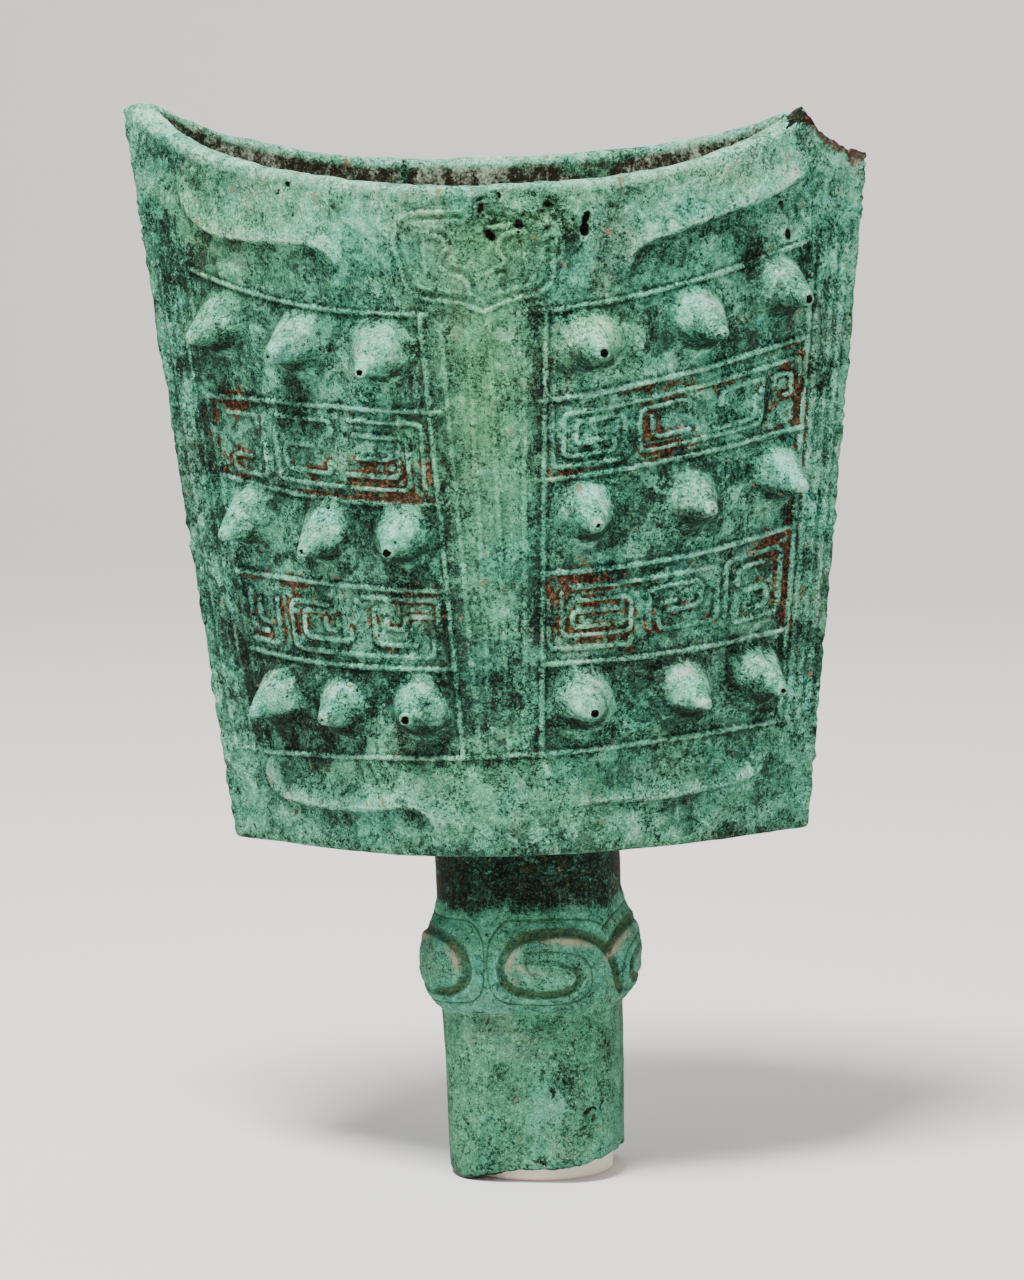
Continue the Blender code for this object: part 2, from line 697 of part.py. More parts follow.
def add_mouth_break(cutters):
    """The lost corner of the mouth: a jagged outline cut through from front to back."""
    points = []
    for u, share in BREAK_OUTLINE:
        z = SHANK_LENGTH + SIDE_HEIGHT * share
        points.append((BODY_OFFSET + half_width(z) * u, z))
    flat = flat_curve("break", points, True, cutters)
    flat.data.fill_mode = "BOTH"
    flat.data.extrude = HALF_DEPTH_MOUTH
    graph = bpy.context.evaluated_depsgraph_get()
    mesh = bpy.data.meshes.new_from_object(flat.evaluated_get(graph))
    bpy.data.objects.remove(flat, do_unlink=True)
    bm = bmesh.new()
    bm.from_mesh(mesh)
    bpy.data.meshes.remove(mesh)
    bmesh.ops.remove_doubles(bm, verts=bm.verts, dist=WELD)
    hinge = body_point(Face.FRONT, BREAK_OUTLINE[0][0], SHANK_LENGTH + SIDE_HEIGHT)
    turn = Matrix.Rotation(math.radians(BREAK_TURN), 4, "Z")
    about_hinge = Matrix.Translation(hinge) @ turn @ Matrix.Translation(-hinge)
    upright = Matrix.Rotation(math.pi / 2, 4, "X")
    bmesh.ops.transform(bm, matrix=about_hinge @ upright, verts=bm.verts)
    bmesh.ops.recalc_face_normals(bm, faces=bm.faces)
    return link_mesh("mouth_break", bm, cutters)


def join_all(obj, operation, collection):
    boolean = obj.modifiers.new(operation.title(), "BOOLEAN")
    boolean.operation = operation
    boolean.operand_type = "COLLECTION"
    boolean.collection = collection
    boolean.solver = "EXACT"


def build_plug(collection):
    """The round plug, upright on the ground inside the end of the shank's bore."""
    radius = BORE_RADIUS - PLUG_CLEARANCE
    bm = bmesh.new()
    bmesh.ops.create_cone(bm, cap_ends=True, segments=2 * STEPS_A_FACE, radius1=radius,
                          radius2=radius - PLUG_TAPER, depth=PLUG_HEIGHT)
    bmesh.ops.translate(bm, vec=(0.0, 0.0, PLUG_HEIGHT / 2), verts=bm.verts)
    top_edges = [edge for edge in bm.edges if all(v.co.z > PLUG_HEIGHT / 2 for v in edge.verts)]
    bmesh.ops.bevel(bm, geom=top_edges, offset=PLUG_EDGE, segments=2, profile=0.5, affect="EDGES",
                    material=-1)
    plug = link_mesh("support_plug", bm, collection)
    plug.data.materials.append(material("linen", LINEN, 0.9, 0.0))
    return plug


def build_bell(collection):
    tools = new_collection("bell_relief")
    cutters = new_collection("bell_cutters")
    bell = bell_casting(collection)
    bell.data.materials.append(material("green_bronze", BRONZE_GREEN, 0.75, 0.2))
    added = add_relief(tools) + add_bosses(tools) + add_ovals(tools)
    cut = add_grooves(tools, cutters)
    cut.append(add_mouth_break(cutters))
    join_all(bell, "UNION", tools)
    join_all(bell, "DIFFERENCE", cutters)

    lean = bpy.data.objects.new("lean", None)
    collection.objects.link(lean)
    lean.rotation_euler = (math.radians(LEAN_FORWARD), -math.radians(LEAN_LEFT), 0.0)
    for obj in [bell] + added + cut:
        obj.parent = lean
    for obj in added + cut:
        hide_as_tool(obj)
    return bell


def main():
    clear_scene()
    collection = new_collection("nao_bell")
    build_bell(collection)
    build_plug(collection)


main()
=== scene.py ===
"""The finished look of an ancient bronze nao bell, mouth upwards on its linen-covered plug.

The bell is one casting: a lens-shaped body with bosses, cast lines and scrolls on both faces, and a hollow
shank with a ring of spiral bosses. Lengths inside the classes are millimetres in the bell's own upright
frame, from the ground up. The whole casting is leaned and turned into metres at the end.
"""

import logging
import math
from dataclasses import dataclass, field
from enum import Enum, IntEnum
from functools import cached_property

import bmesh
import bpy
import numpy as np
from bmesh.types import BMEdge, BMesh, BMVert
from bpy.types import Material, NodeSocket as Socket, Object
from mathutils import Euler, Matrix, Vector, noise
from numpy import ndarray as Array


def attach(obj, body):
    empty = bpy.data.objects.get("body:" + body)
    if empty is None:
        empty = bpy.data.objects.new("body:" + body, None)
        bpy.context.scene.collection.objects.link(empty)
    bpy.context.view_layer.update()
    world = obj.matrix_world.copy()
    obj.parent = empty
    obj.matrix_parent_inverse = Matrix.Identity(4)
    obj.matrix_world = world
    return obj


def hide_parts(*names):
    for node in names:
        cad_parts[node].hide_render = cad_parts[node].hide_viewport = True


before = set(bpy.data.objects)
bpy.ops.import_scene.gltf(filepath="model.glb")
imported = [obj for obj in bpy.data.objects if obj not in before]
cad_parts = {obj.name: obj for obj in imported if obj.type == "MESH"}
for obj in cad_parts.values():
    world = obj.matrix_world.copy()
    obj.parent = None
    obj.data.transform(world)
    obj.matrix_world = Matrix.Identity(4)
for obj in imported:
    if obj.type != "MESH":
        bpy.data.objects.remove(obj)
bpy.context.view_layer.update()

Source = Socket | float | tuple
Amount = float | Array | Vector
Pairs = tuple[tuple[float, float], ...]
LOG = logging.getLogger("nao_bell")
MM = 0.001

# How far from a line its ridge field reaches, and how high the bell's lowest point is held off the ground
NEAR = 3.2
GROUND_GAP = 0.0001

# What the mesh tells the patina about each point. Besides the patina's own colours, pale carries painted
# highlight, and dark and hollow carry painted shade.
FIELDS = (
    "ridge", "cut", "hole", "crest", "hollow", "rust", "dark", "pale", "warm", "worn", "pitted", "calm",
    "soot",
)


class Face(IntEnum):
    """The bell's two faces, by the sign of Y."""

    FRONT = -1
    BACK = 1


class Zone(IntEnum):
    """The zones between the lines across a face, from the mouth down."""

    MOUTH = 0
    BOSSES_HIGH = 1
    SCROLLS_HIGH = 2
    BOSSES_MIDDLE = 3
    SCROLLS_LOW = 4
    BOSSES_LOW = 5
    FOOT = 6


class Region(IntEnum):
    """The parts of the casting's skin that are finished differently."""

    FACE = 0
    LIP = 1
    INSIDE = 2
    BROKEN_END = 3
    SHANK = 4
    UNDERSIDE = 5


def mix(low: Amount, high: Amount, share: Amount) -> Amount:
    """The value this share of the way from low to high.

    Args:
        low: the value at share 0.
        high: the value at share 1.
        share: the way between them.

    Returns:
        The mixed value, array or vector.
    """
    return low + (high - low) * share


def smooth_step(low: float, high: float, value: Array) -> Array:
    """A soft step from 0 at low to 1 at high.

    Args:
        low: where the step starts.
        high: where it ends.
        value: the values to step.

    Returns:
        The stepped values.
    """
    share = np.clip((value - low) / (high - low), 0.0, 1.0)
    return share * share * (3 - 2 * share)


def keep_highest(values: Array, index: Array, new: Array) -> None:
    """Raises some of an array's values to new ones where these are higher."""
    values[index] = np.maximum(values[index], new)


@dataclass(frozen=True)
class PanelLine:
    """One line across a face, as a share of the side height, rising from the middle to the sides."""

    left: float
    left_rise: float
    left_power: float
    right: float
    right_rise: float
    right_power: float

    def halves(self, u: Array) -> tuple[Array, Array]:
        """The curves of the left and of the right half, each run on over the whole face.

        Args:
            u: places from the left ridge, -1, to the right ridge, 1.

        Returns:
            Shares of the side height for both curves.
        """
        size = np.abs(u)
        left = self.left + self.left_rise * size**self.left_power
        return left, self.right + self.right_rise * size**self.right_power

    def share(self, u: Array) -> Array:
        """The line's height at shares of the half width."""
        return np.where(u < 0, *self.halves(u))

    def skin_share(self, u: Array) -> Array:
        """As share, but without a jump at the middle, and level with the other face at the ridges.

        Args:
            u: places from the left ridge, -1, to the right ridge, 1.

        Returns:
            Shares of the side height.
        """
        left, right = self.halves(u)
        body = mix(left, right, smooth_step(-0.10, 0.12, u))
        ridge = (self.left + self.left_rise + self.right + self.right_rise) / 2
        return mix(body, ridge, smooth_step(0.90, 1.0, np.abs(u)))


@dataclass(frozen=True)
class BellForm:
    """The casting's plain form."""

    shank_length: float = 121.4
    side_height: float = 263.0
    half_width_base: float = 102.5
    half_width_mouth: float = 132.5
    half_depth_base: float = 54.0
    half_depth_mouth: float = 80.0
    wall: float = 7.0
    floor: float = 8.0
    front_rim_dip: float = 31.9
    back_rim_dip: float = 27.0
    front_rim: Pairs = (
        (-1.0, 0.0), (-0.93, 0.285), (-0.82, 0.52), (-0.71, 0.665), (-0.60, 0.755), (-0.49, 0.83),
        (-0.33, 0.915), (-0.16, 0.975), (0.0, 1.0), (0.16, 0.98), (0.30, 0.975), (0.42, 0.935),
        (0.54, 0.866), (0.66, 0.745), (0.76, 0.60), (0.82, 0.44), (1.0, 0.0),
    )
    back_rim: Pairs = (
        (-1.0, 0.0), (-0.93, 0.225), (-0.82, 0.505), (-0.71, 0.645), (-0.60, 0.805), (-0.49, 0.895),
        (-0.33, 0.965), (-0.11, 1.0), (0.11, 0.98), (0.30, 0.93), (0.44, 0.875), (0.54, 0.77),
        (0.66, 0.69), (0.74, 0.60), (0.82, 0.42), (1.0, 0.0),
    )
    rim_softness: float = 0.035
    guide_dip: float = 30.0
    guide_curve: float = 2.6
    offset: float = -2.3
    corner_share: float = 0.024
    corner_drop: float = 2.8
    lines: tuple[PanelLine, ...] = (
        PanelLine(0.7205, 0.094, 3.0, 0.7186, 0.099, 2.1),
        PanelLine(0.5894, 0.024, 1.0, 0.6008, 0.082, 1.8),
        PanelLine(0.4715, 0.052, 3.0, 0.4981, 0.059, 1.75),
        PanelLine(0.3574, 0.023, 2.0, 0.3783, 0.054, 3.0),
        PanelLine(0.2536, 0.037, 5.0, 0.2578, 0.028, 3.3),
        PanelLine(0.1369, -0.012, 1.0, 0.1380, 0.0175, 1.5),
    )
    panel_left: tuple[float, float] = (-0.82, -0.865)
    panel_right: tuple[float, float] = (0.88, 0.88)
    middle_left: tuple[float, float] = (-0.114, -0.162)
    middle_right: tuple[float, float] = (0.138, 0.184)
    middle_inner: float = 0.055
    break_shares: Pairs = (
        (0.845, 1.02), (0.846, 0.9505), (0.856, 0.9515), (0.866, 0.948), (0.8815, 0.9326), (0.898, 0.9275),
        (0.916, 0.9235), (0.924, 0.917), (0.945, 0.916), (0.961, 0.9085), (0.970, 0.899), (0.978, 0.8925),
        (0.986, 0.895), (0.998, 0.9005), (1.015, 0.9015), (1.031, 0.899), (1.15, 0.888),
    )
    break_turn: float = 11.0
    break_level: float = 0.92
    break_jag: float = 0.7
    break_waves: tuple[float, float] = (1.9, 0.83)

    def half_width(self, z: Array) -> Array:
        """Half the body's width at heights z."""
        return mix(self.half_width_base, self.half_width_mouth, (z - self.shank_length) / self.side_height)

    def half_depth(self, z: Array) -> Array:
        """Half the body's depth at heights z."""
        return mix(self.half_depth_base, self.half_depth_mouth, (z - self.shank_length) / self.side_height)

    def height(self, share: Array) -> Array:
        """The height at a share of the side height."""
        return self.shank_length + self.side_height * share

    def rim(self, side: Face, u: Array) -> Array:
        """The whole rim's height.

        Args:
            side: the face.
            u: shares of the half width, from the left ridge to the right one as seen from the front.

        Returns:
            Heights of the rim as it was cast.
        """
        front = side == Face.FRONT
        dip, shape = (self.front_rim_dip, self.front_rim) if front else (self.back_rim_dip, self.back_rim)
        places, shares = np.array(shape).T
        size = np.abs(np.clip(u, -1, 1))
        soft = np.minimum(self.rim_softness, 1 - size)
        share = sum(np.interp(u + step * soft, places, shares) for step in (-1, -0.5, 0, 0.5, 1)) / 5
        corner = self.corner_drop * smooth_step(1 - self.corner_share, 1.0, size) ** 2
        return self.height(1.0) - dip * share - corner

    def mouth_guide(self, u: float) -> float:
        """The height of the curve that the ornament below the mouth is drawn up to."""
        return float(self.height(1.0)) - self.guide_dip * (1 - abs(u) ** self.guide_curve)

    def broken_rim(self, side: Face, x: Array, u: Array) -> Array:
        """The rim's height with the lost corner at the right.

        Args:
            side: the face.
            x: places across in the bell's frame, from the body's axis.
            u: the same as shares of the half width there.

        Returns:
            Heights of the rim today.
        """
        y = side * self.half_depth_mouth * np.cos(np.pi / 2 * np.clip(u, -1, 1))
        hinge_x = self.break_shares[0][0] * self.half_width_mouth
        hinge_y = -self.half_depth_mouth * math.cos(math.pi / 2 * self.break_shares[0][0])
        turn = math.radians(self.break_turn)
        seen = hinge_x + (x - hinge_x) * math.cos(turn) + (y - hinge_y) * math.sin(turn)
        shares = np.array(self.break_shares)
        width = self.half_width(self.height(self.break_level))
        lost = self.height(np.interp(seen / width, shares[:, 0], shares[:, 1]))
        long, short = self.break_waves
        lost = lost + self.break_jag * np.sin(seen * long) * np.sin(seen * short + 1)
        above_all = self.height(1.0) + 5
        lost = np.where(seen / width < shares[0, 0], above_all, lost)
        return np.minimum(self.rim(side, u), lost)

    def skin(self, side: Face, x: Array, z: Array, inset: float = 0.0) -> Array:
        """Points of the body's skin.

        Args:
            side: the face.
            x: places across the drawing of the face, as seen from outside.
            z: heights.
            inset: how far inside the skin.

        Returns:
            An array of points.
        """
        width = self.half_width(z)
        depth = self.half_depth(z)
        u = np.clip(x / width, -1.0, 1.0)
        ridge = np.arctan(depth * np.pi / 2 / width)
        across = (width - inset / np.sin(ridge)) * u
        return np.stack([self.offset - side * across, side * (depth - inset) * np.cos(np.pi / 2 * u), z], -1)

    def outward(self, side: Face, x: Array, z: Array) -> Array:
        """Unit vectors off the skin.

        Args:
            side: the face.
            x: places across the drawing of the face.
            z: heights.

        Returns:
            An array of vectors.
        """
        step = 0.05
        width = self.half_width(z) - step
        x = np.clip(x, -width, width)
        along = self.skin(side, x + step, z) - self.skin(side, x - step, z)
        over = self.skin(side, x, z + step) - self.skin(side, x, z - step)
        normal = np.cross(along, over)
        return normal / np.linalg.norm(normal, axis=-1, keepdims=True)

    def zone_height(self, zone: Zone, u: float, share: float) -> float:
        """The height at a share of the way up a zone.

        Args:
            zone: the zone.
            u: the place across, as a share of the half width.
            share: the share of the zone's height.

        Returns:
            The height.
        """
        low = self.lines[zone].share(u) if zone < len(self.lines) else 0.0
        high = self.mouth_guide(u) if zone == Zone.MOUTH else self.height(self.lines[zone - 1].share(u))
        return float(mix(self.height(low), high, share))

    def guide(self, ends: tuple[float, float], inward: float = 0.0) -> tuple[float, float, float, float]:
        """An upright line of the panel.

        Args:
            ends: shares of the half width at its foot and its head.
            inward: a shift towards the middle.

        Returns:
            Its foot (x, z) and its head (x, z) on the drawing.
        """
        shift = -math.copysign(inward, ends[0])
        points = []
        for u, line in zip(ends, (self.lines[-1], self.lines[0])):
            z = float(self.height(line.share(u + shift)))
            points += [float(self.half_width(z) * (u + shift)), z]
        return tuple(points)


@dataclass(frozen=True)
class ShankForm:
    """The shank, its bore, its ring and its broken lower end."""

    half_width_top: float = 32.6
    half_width_low: float = 30.7
    half_depth_top: float = 31.2
    half_depth_low: float = 30.5
    squareness: float = 3.0
    bore_radius: float = 27.9
    ring_below_body: float = 22.0
    ring_height: float = 37.5
    ring_bulge: float = 5.0
    ring_squareness: float = 2.5
    ring_slope: Pairs = (
        (-0.03, 0.0), (0.0, 0.22), (0.05, 0.70), (0.13, 0.93), (0.35, 1.0), (0.55, 0.98), (0.75, 0.70),
        (0.90, 0.26), (1.0, 0.05), (1.04, 0.0),
    )
    broken_edge: tuple[float, ...] = (
        10.0, 6.0, 4.0, 3.0, 2.0, 4.0, 4.5, 4.0, 3.9, 2.1, 0.0, 3.2, 5.0, 5.0, 7.8, 9.5,
    )
    lean_left: float = 1.9
    lean_forward: float = 1.0

    def ring_middle(self, form: BellForm) -> float:
        """The height of the middle of the ring."""
        return form.shank_length - self.ring_below_body - self.ring_height / 2

    def bulge(self, form: BellForm, z: Array) -> Array:
        """How far the ring stands off the shank.

        Args:
            form: the body's form.
            z: heights.

        Returns:
            Distances off the shank.
        """
        low = form.shank_length - self.ring_below_body - self.ring_height
        slope = np.array(self.ring_slope)
        return self.ring_bulge * np.interp((z - low) / self.ring_height, slope[:, 0], slope[:, 1], 0.0, 0.0)

    def outline(self, form: BellForm, angle: Array, z: Array) -> Array:
        """Points round the shank.

        Args:
            form: the body's form.
            angle: angles from +X towards +Y, in radians.
            z: heights.

        Returns:
            An array of points.
        """
        share = z / form.shank_length
        bulge = self.bulge(form, z)
        half_x = mix(self.half_width_low, self.half_width_top, share) + bulge
        half_y = mix(self.half_depth_low, self.half_depth_top, share) + bulge
        power = mix(self.squareness, self.ring_squareness, np.clip(bulge / self.ring_bulge, 0, 1))
        reach = np.abs(np.cos(angle)) ** power + np.abs(np.sin(angle)) ** power
        radius = reach ** (-1 / power)
        return np.stack([half_x * radius * np.cos(angle), half_y * radius * np.sin(angle), z], -1)

    def end_height(self, angle: Array, x: Array, y: Array) -> Array:
        """The broken end's height in the leaning bell's own frame.

        Args:
            angle: angles from +X towards +Y, in radians.
            x: places across.
            y: places in depth.

        Returns:
            Heights that follow the broken edge above the ground.
        """
        count = len(self.broken_edge)
        turns = np.mod(angle / (2 * np.pi), 1.0) * count
        edge = np.interp(turns, np.arange(count + 1), list(self.broken_edge) + [self.broken_edge[0]])
        left = math.radians(self.lean_left)
        forward = math.radians(self.lean_forward)
        upright = (edge - math.sin(forward) * y) / math.cos(forward)
        return (upright - math.sin(left) * x) / math.cos(left)


class StrokeKind(Enum):
    """How a stroke of the relief is shaped: (half width, rise, reach)."""

    LINE = (1.15, 1.15, 2.8)
    UPRIGHT = (1.15, 0.95, 2.6)
    WORN = (1.15, 0.55, 2.6)
    SCROLL = (1.1, 1.2, 2.4)
    CHANNEL = (1.1, -0.5, 3.2)
    FAINT = (1.2, 0.3, 2.4)
    STRIPE = (1.7, 0.5, 2.8)
    HOOK = (10.0, 2.3, 11.5)
    BROAD_GROOVE = (1.65, -1.35, 4.0)
    FINE_GROOVE = (0.6, -0.4, 1.5)

    @property
    def strength(self) -> float:
        """How much the stroke's crest is painted pale, partly as wear and partly as painted highlight, and
        its foot darkened with painted shade.
        """
        return {"FAINT": 0.35, "STRIPE": 0.6, "WORN": 0.45, "SCROLL": 0.85}.get(self.name, 1.0)


@dataclass(frozen=True)
class Stroke:
    """One stroke on a drawing: its corners, its kind, and for a hook the side on which it is high."""

    path: Pairs
    kind: StrokeKind
    high_side: int = 0

    def nearest(self, x: Array, z: Array) -> tuple[Array, Array, Array]:
        """Distances of points from the stroke.

        Args:
            x: places across the drawing.
            z: heights on the drawing.

        Returns:
            The distance, the signed side (left of the stroke's way is positive) and the way along.
        """
        best = np.full(x.shape, 1e9)
        side = np.zeros(x.shape)
        way = np.zeros(x.shape)
        done = 0.0
        for (ax, az), (bx, bz) in zip(self.path, self.path[1:]):
            dx, dz = bx - ax, bz - az
            length = math.hypot(dx, dz)
            if length < 1e-6:
                continue
            t = np.clip(((x - ax) * dx + (z - az) * dz) / length**2, 0.0, 1.0)
            gap_x = x - ax - t * dx
            gap_z = z - az - t * dz
            gap = np.hypot(gap_x, gap_z)
            closer = gap < best
            best = np.where(closer, gap, best)
            side = np.where(closer, (dx * gap_z - dz * gap_x) / length, side)
            way = np.where(closer, done + t * length, way)
            done += length
        return best, side, way

    def close_by(self, x: Array, z: Array, margin: float) -> Array:
        """Finds the points in the stroke's box.

        Args:
            x: places across the drawing.
            z: heights on the drawing.
            margin: how much wider the box is than the stroke.

        Returns:
            The numbers of the points inside.
        """
        xs, zs = zip(*self.path)
        across = (x > min(xs) - margin) & (x < max(xs) + margin)
        return np.nonzero(across & (z > min(zs) - margin) & (z < max(zs) + margin))[0]

    def length(self) -> float:
        """The stroke's whole length."""
        return sum(math.dist(a, b) for a, b in zip(self.path, self.path[1:]))


def rounded_path(points: list[tuple[float, float]], radius: float) -> Pairs:
    """A path with its corners rounded.

    Args:
        points: the corners.
        radius: how far from each corner the rounding starts.

    Returns:
        The new path.
    """
    if len(points) < 3:
        return tuple(points)
    path = [points[0]]
    for before, here, after in zip(points, points[1:], points[2:]):
        in_length = math.dist(before, here)
        out_length = math.dist(here, after)
        reach = min(radius, 0.45 * in_length, 0.45 * out_length)
        start = [mix(h, b, reach / max(in_length, 1e-6)) for h, b in zip(here, before)]
        end = [mix(h, a, reach / max(out_length, 1e-6)) for h, a in zip(here, after)]
        for t in (0.0, 0.33, 0.67, 1.0):
            corner = zip(start, here, end)
            path.append(tuple((1 - t) ** 2 * s + 2 * t * (1 - t) * h + t * t * e for s, h, e in corner))
    path.append(points[-1])
    return tuple(path)


@dataclass(frozen=True)
class Pit:
    """One casting flaw: its place on the drawing, its half width, half height, slant and depth."""

    x: float
    z: float
    wide: float
    high: float
    slant: float
    depth: float

    def share(self, x: Array, z: Array) -> Array:
        """How far points are from the pit's middle.

        Args:
            x: places across the drawing.
            z: heights on the drawing.

        Returns:
            Distances, 1 being the pit's edge.
        """
        turn = math.radians(self.slant)
        across = (x - self.x) * math.cos(turn) + (z - self.z) * math.sin(turn)
        along = (z - self.z) * math.cos(turn) - (x - self.x) * math.sin(turn)
        return np.hypot(across / self.wide, along / self.high)


@dataclass(frozen=True)
class Boss:
    """One conical boss: its place and height, how its point droops and turns aside, and its tip's hole."""

    x: float
    z: float
    height: float
    droop: float
    aside: float
    hole: float


@dataclass
class FaceArt:
    """What is cast on one face: lines, scrolls, hooks and bosses, as drawn from outside."""

    form: BellForm
    side: Face
    boss_radius: float = 12.7
    hole_depth: float = 1.2
    boss_upper: Pairs = (
        (0.0, 0.97), (0.08, 1.0), (0.15, 0.975), (0.20, 0.92), (0.28, 0.85), (0.40, 0.71), (0.52, 0.55),
        (0.64, 0.39), (0.76, 0.24), (0.87, 0.115), (0.97, 0.03), (1.08, 0.0),
    )
    boss_under: Pairs = (
        (0.0, 0.97), (0.08, 1.0), (0.15, 0.975), (0.19, 0.91), (0.26, 0.77), (0.38, 0.58), (0.50, 0.42),
        (0.62, 0.28), (0.74, 0.17), (0.86, 0.08), (0.97, 0.02), (1.08, 0.0),
    )
    boss_places: tuple = (
        ((-0.77, 0.62), (-0.53, 0.60), (-0.28, 0.60), (0.30, 0.56), (0.58, 0.54), (0.79, 0.62)),
        ((-0.75, 0.64), (-0.50, 0.61), (-0.25, 0.66), (0.28, 0.60), (0.575, 0.58), (0.81, 0.59)),
        ((-0.73, 0.56), (-0.50, 0.54), (-0.24, 0.56), (0.27, 0.55), (0.57, 0.55), (0.79, 0.56)),
    )
    boss_sizes: tuple = (
        ((16.0, 2.5, -0.2, 0.0), (16.5, 1.8, -0.2, 0.7), (15.8, 4.6, -0.9, 1.1), (15.0, 1.2, 0.7, 1.5),
         (18.6, 1.8, 0.2, 0.6), (18.8, 1.9, 0.1, 1.6)),
        ((15.8, 4.6, -0.6, 0.0), (14.9, 4.4, -0.8, 0.9), (14.2, 4.2, -1.2, 1.5), (15.2, 1.6, 0.9, 0.8),
         (16.2, 2.1, 0.5, 0.5), (18.4, 2.3, 0.3, 0.0)),
        ((15.8, 2.1, -0.3, 0.0), (14.4, 1.6, -0.4, 0.6), (13.9, 1.2, -0.8, 1.5), (18.4, 0.2, -0.2, 1.4),
         (18.2, 2.0, 0.4, 0.0), (17.4, 2.6, 0.5, 0.9)),
    )
    high_scrolls: tuple = (
        (-68, 50, "D37 L11 U20 R6"), (-79, 82, "R9 D14"), (-63, 85, "R17 D16"),
        (-64, 70, "D55 R41.5 U56 L16.5"), (-52, 56, "L9 D28 R14 U12"), (-40, 87, "R22 D69"),
        (-25.5, 45, "D16 L16"), (-38, 47, "R10 U10 L3"), (86.5, 46, "U34 L64 D54 R14 U17 L7.5"),
        (39.5, 33, "U36 L13.5 D29 R4"), (19.3, 93, "D79 R19"), (57, 55, "U14 L13.5 D52 R33 U50"),
        (47, 58, "D26 R10"), (76.5, 68, "L11 D17"), (63.5, 25, "R11.5 U25"), (79.5, 54, "U12 R5 D24 L2"),
    )
    low_scrolls: tuple = (
        (-80, 79, "D50 R5"), (-70.5, 72, "D56 L10"), (-77, 68, "D26 R4"), (-53, 74, "L12.5 D59 R47 U31"),
        (-54.5, 65, "L7 D34 R16 U14"), (-54, 57, "D14 R4 U14"), (-41, 88, "R24.5 D38"),
        (-37.5, 74, "D44 R13"), (-33.5, 62, "D12 R6 U16 R8"), (24, 83, "R42.5 D56 L17 U28 R5"),
        (46.7, 30, "U42 R15 D26 L9"), (17, 80, "D64 R24.5 U8"), (21, 77, "D47 R20.5 U38 L17"),
        (37, 56, "L13 D17 R11"), (69, 29, "U55 R15.5 D64 L12"), (72.5, 57, "U17 R8"),
        (74, 50, "R7 D20 L6"),
    )
    back_scrolls: tuple = (
        (-78, 81, "R24 D62 L18 U34"), (-47, 81, "R27 D62 L21 U34"), (76, 81, "L25 D62 R19 U34"),
        (45, 81, "L25 D62 R19 U34"),
    )
    mask_strokes: tuple = (
        ((-2.9, 75.4), (-12.4, 75.8), (-17.6, 74.2), (-20, 68), (-20.9, 53), (-19.8, 42), (-18.8, 26),
         (-17, 18), (-12.6, 14.4), (-4.6, 12.5), (-1.4, 9.2), (1.5, 4.6), (4.9, 11), (11.4, 15.4),
         (16.5, 17.2), (18.9, 22.7), (19.5, 31), (19.6, 46)),
        ((-11.5, 65), (-8.3, 63.3), (-6.5, 57), (-6.1, 49), (-8.4, 44), (-8.8, 40), (-7, 34.5), (-3.7, 32.7),
         (-1.1, 25.5), (-0.7, 17.7)),
        ((12.5, 60), (8.5, 58), (7, 50), (9.5, 42), (8.6, 36), (4.6, 31)),
        ((4.4, 71), (9.4, 72.3), (15.4, 73.4), (18, 69)),
    )
    mask_lines: tuple = (
        ((23.5, 52), (23.4, 27), (22.3, 14), (19.3, 3)), ((-25.9, 73), (-25, 18), (-22, 8)),
        ((-14, 63), (-14, 28)), ((13.5, 58), (13.2, 30)),
    )
    pits: tuple[Pit, ...] = (
        Pit(5.4, 337.0, 1.5, 2.6, 40, 2.6), Pit(36.9, 338.2, 1.5, 2.5, 0, 2.8),
        Pit(37.4, 341.9, 1.2, 2.2, -20, 2.4), Pit(15.2, 340.4, 2.2, 1.8, 0, 1.3),
        Pit(8.9, 350.7, 1.0, 1.7, 15, 1.6), Pit(24.8, 347.1, 1.5, 1.1, 0, 1.5),
        Pit(23.0, 344.8, 1.3, 0.8, 0, 1.0), Pit(2.5, 346.3, 1.3, 2.2, -15, 1.4),
        Pit(9.4, 343.8, 3.0, 0.9, -4, 0.9), Pit(24.4, 339.0, 1.1, 0.9, 0, 0.9),
        Pit(9.5, 325.0, 1.3, 0.8, -30, 0.8), Pit(16.9, 343.8, 1.3, 1.0, 0, 0.7),
        Pit(26.3, 335.5, 1.4, 1.2, 0, 0.5), Pit(-66.6, 355.8, 1.1, 1.0, 0, 1.4),
        Pit(-70.4, 352.6, 0.9, 0.8, 0, 1.2), Pit(33.3, 341.4, 1.2, 1.2, 0, 0.7),
        Pit(2.4, 349.4, 2.6, 1.2, 10, 0.7), Pit(103.0, 332.0, 1.2, 2.4, 10, 1.3),
        Pit(105.0, 316.0, 1.0, 2.2, 0, 1.1), Pit(101.0, 343.0, 1.4, 1.6, 0, 1.0),
        Pit(88.0, 364.0, 1.2, 1.0, 0, 1.0),
    )
    mouth_hooks: tuple = (
        ((-85, 62), (-83.5, 48), (-80.5, 39), (-73, 37), (-62, 43), (-50, 49.5), (-44, 50), (-39.5, 43),
         (-38, 30)),
        ((85.5, 55), (74, 49), (64, 48.5), (54, 45), (44.6, 43.5), (41.4, 38), (39, 17)),
    )
    foot_hooks: tuple = (
        ((-83, 92), (-80.5, 61), (-76, 53), (-60, 46), (-44, 47), (-31, 54), (-24, 46), (-22.4, 26)),
        ((85, 69), (79.5, 55), (67, 51), (51, 48), (35, 51), (26.5, 51), (23.8, 38)),
    )
    stripes: tuple = (
        (-0.87, -0.905), (-0.905, -0.93), (-0.94, -0.955), (0.905, 0.907), (0.935, 0.937), (0.965, 0.965),
    )
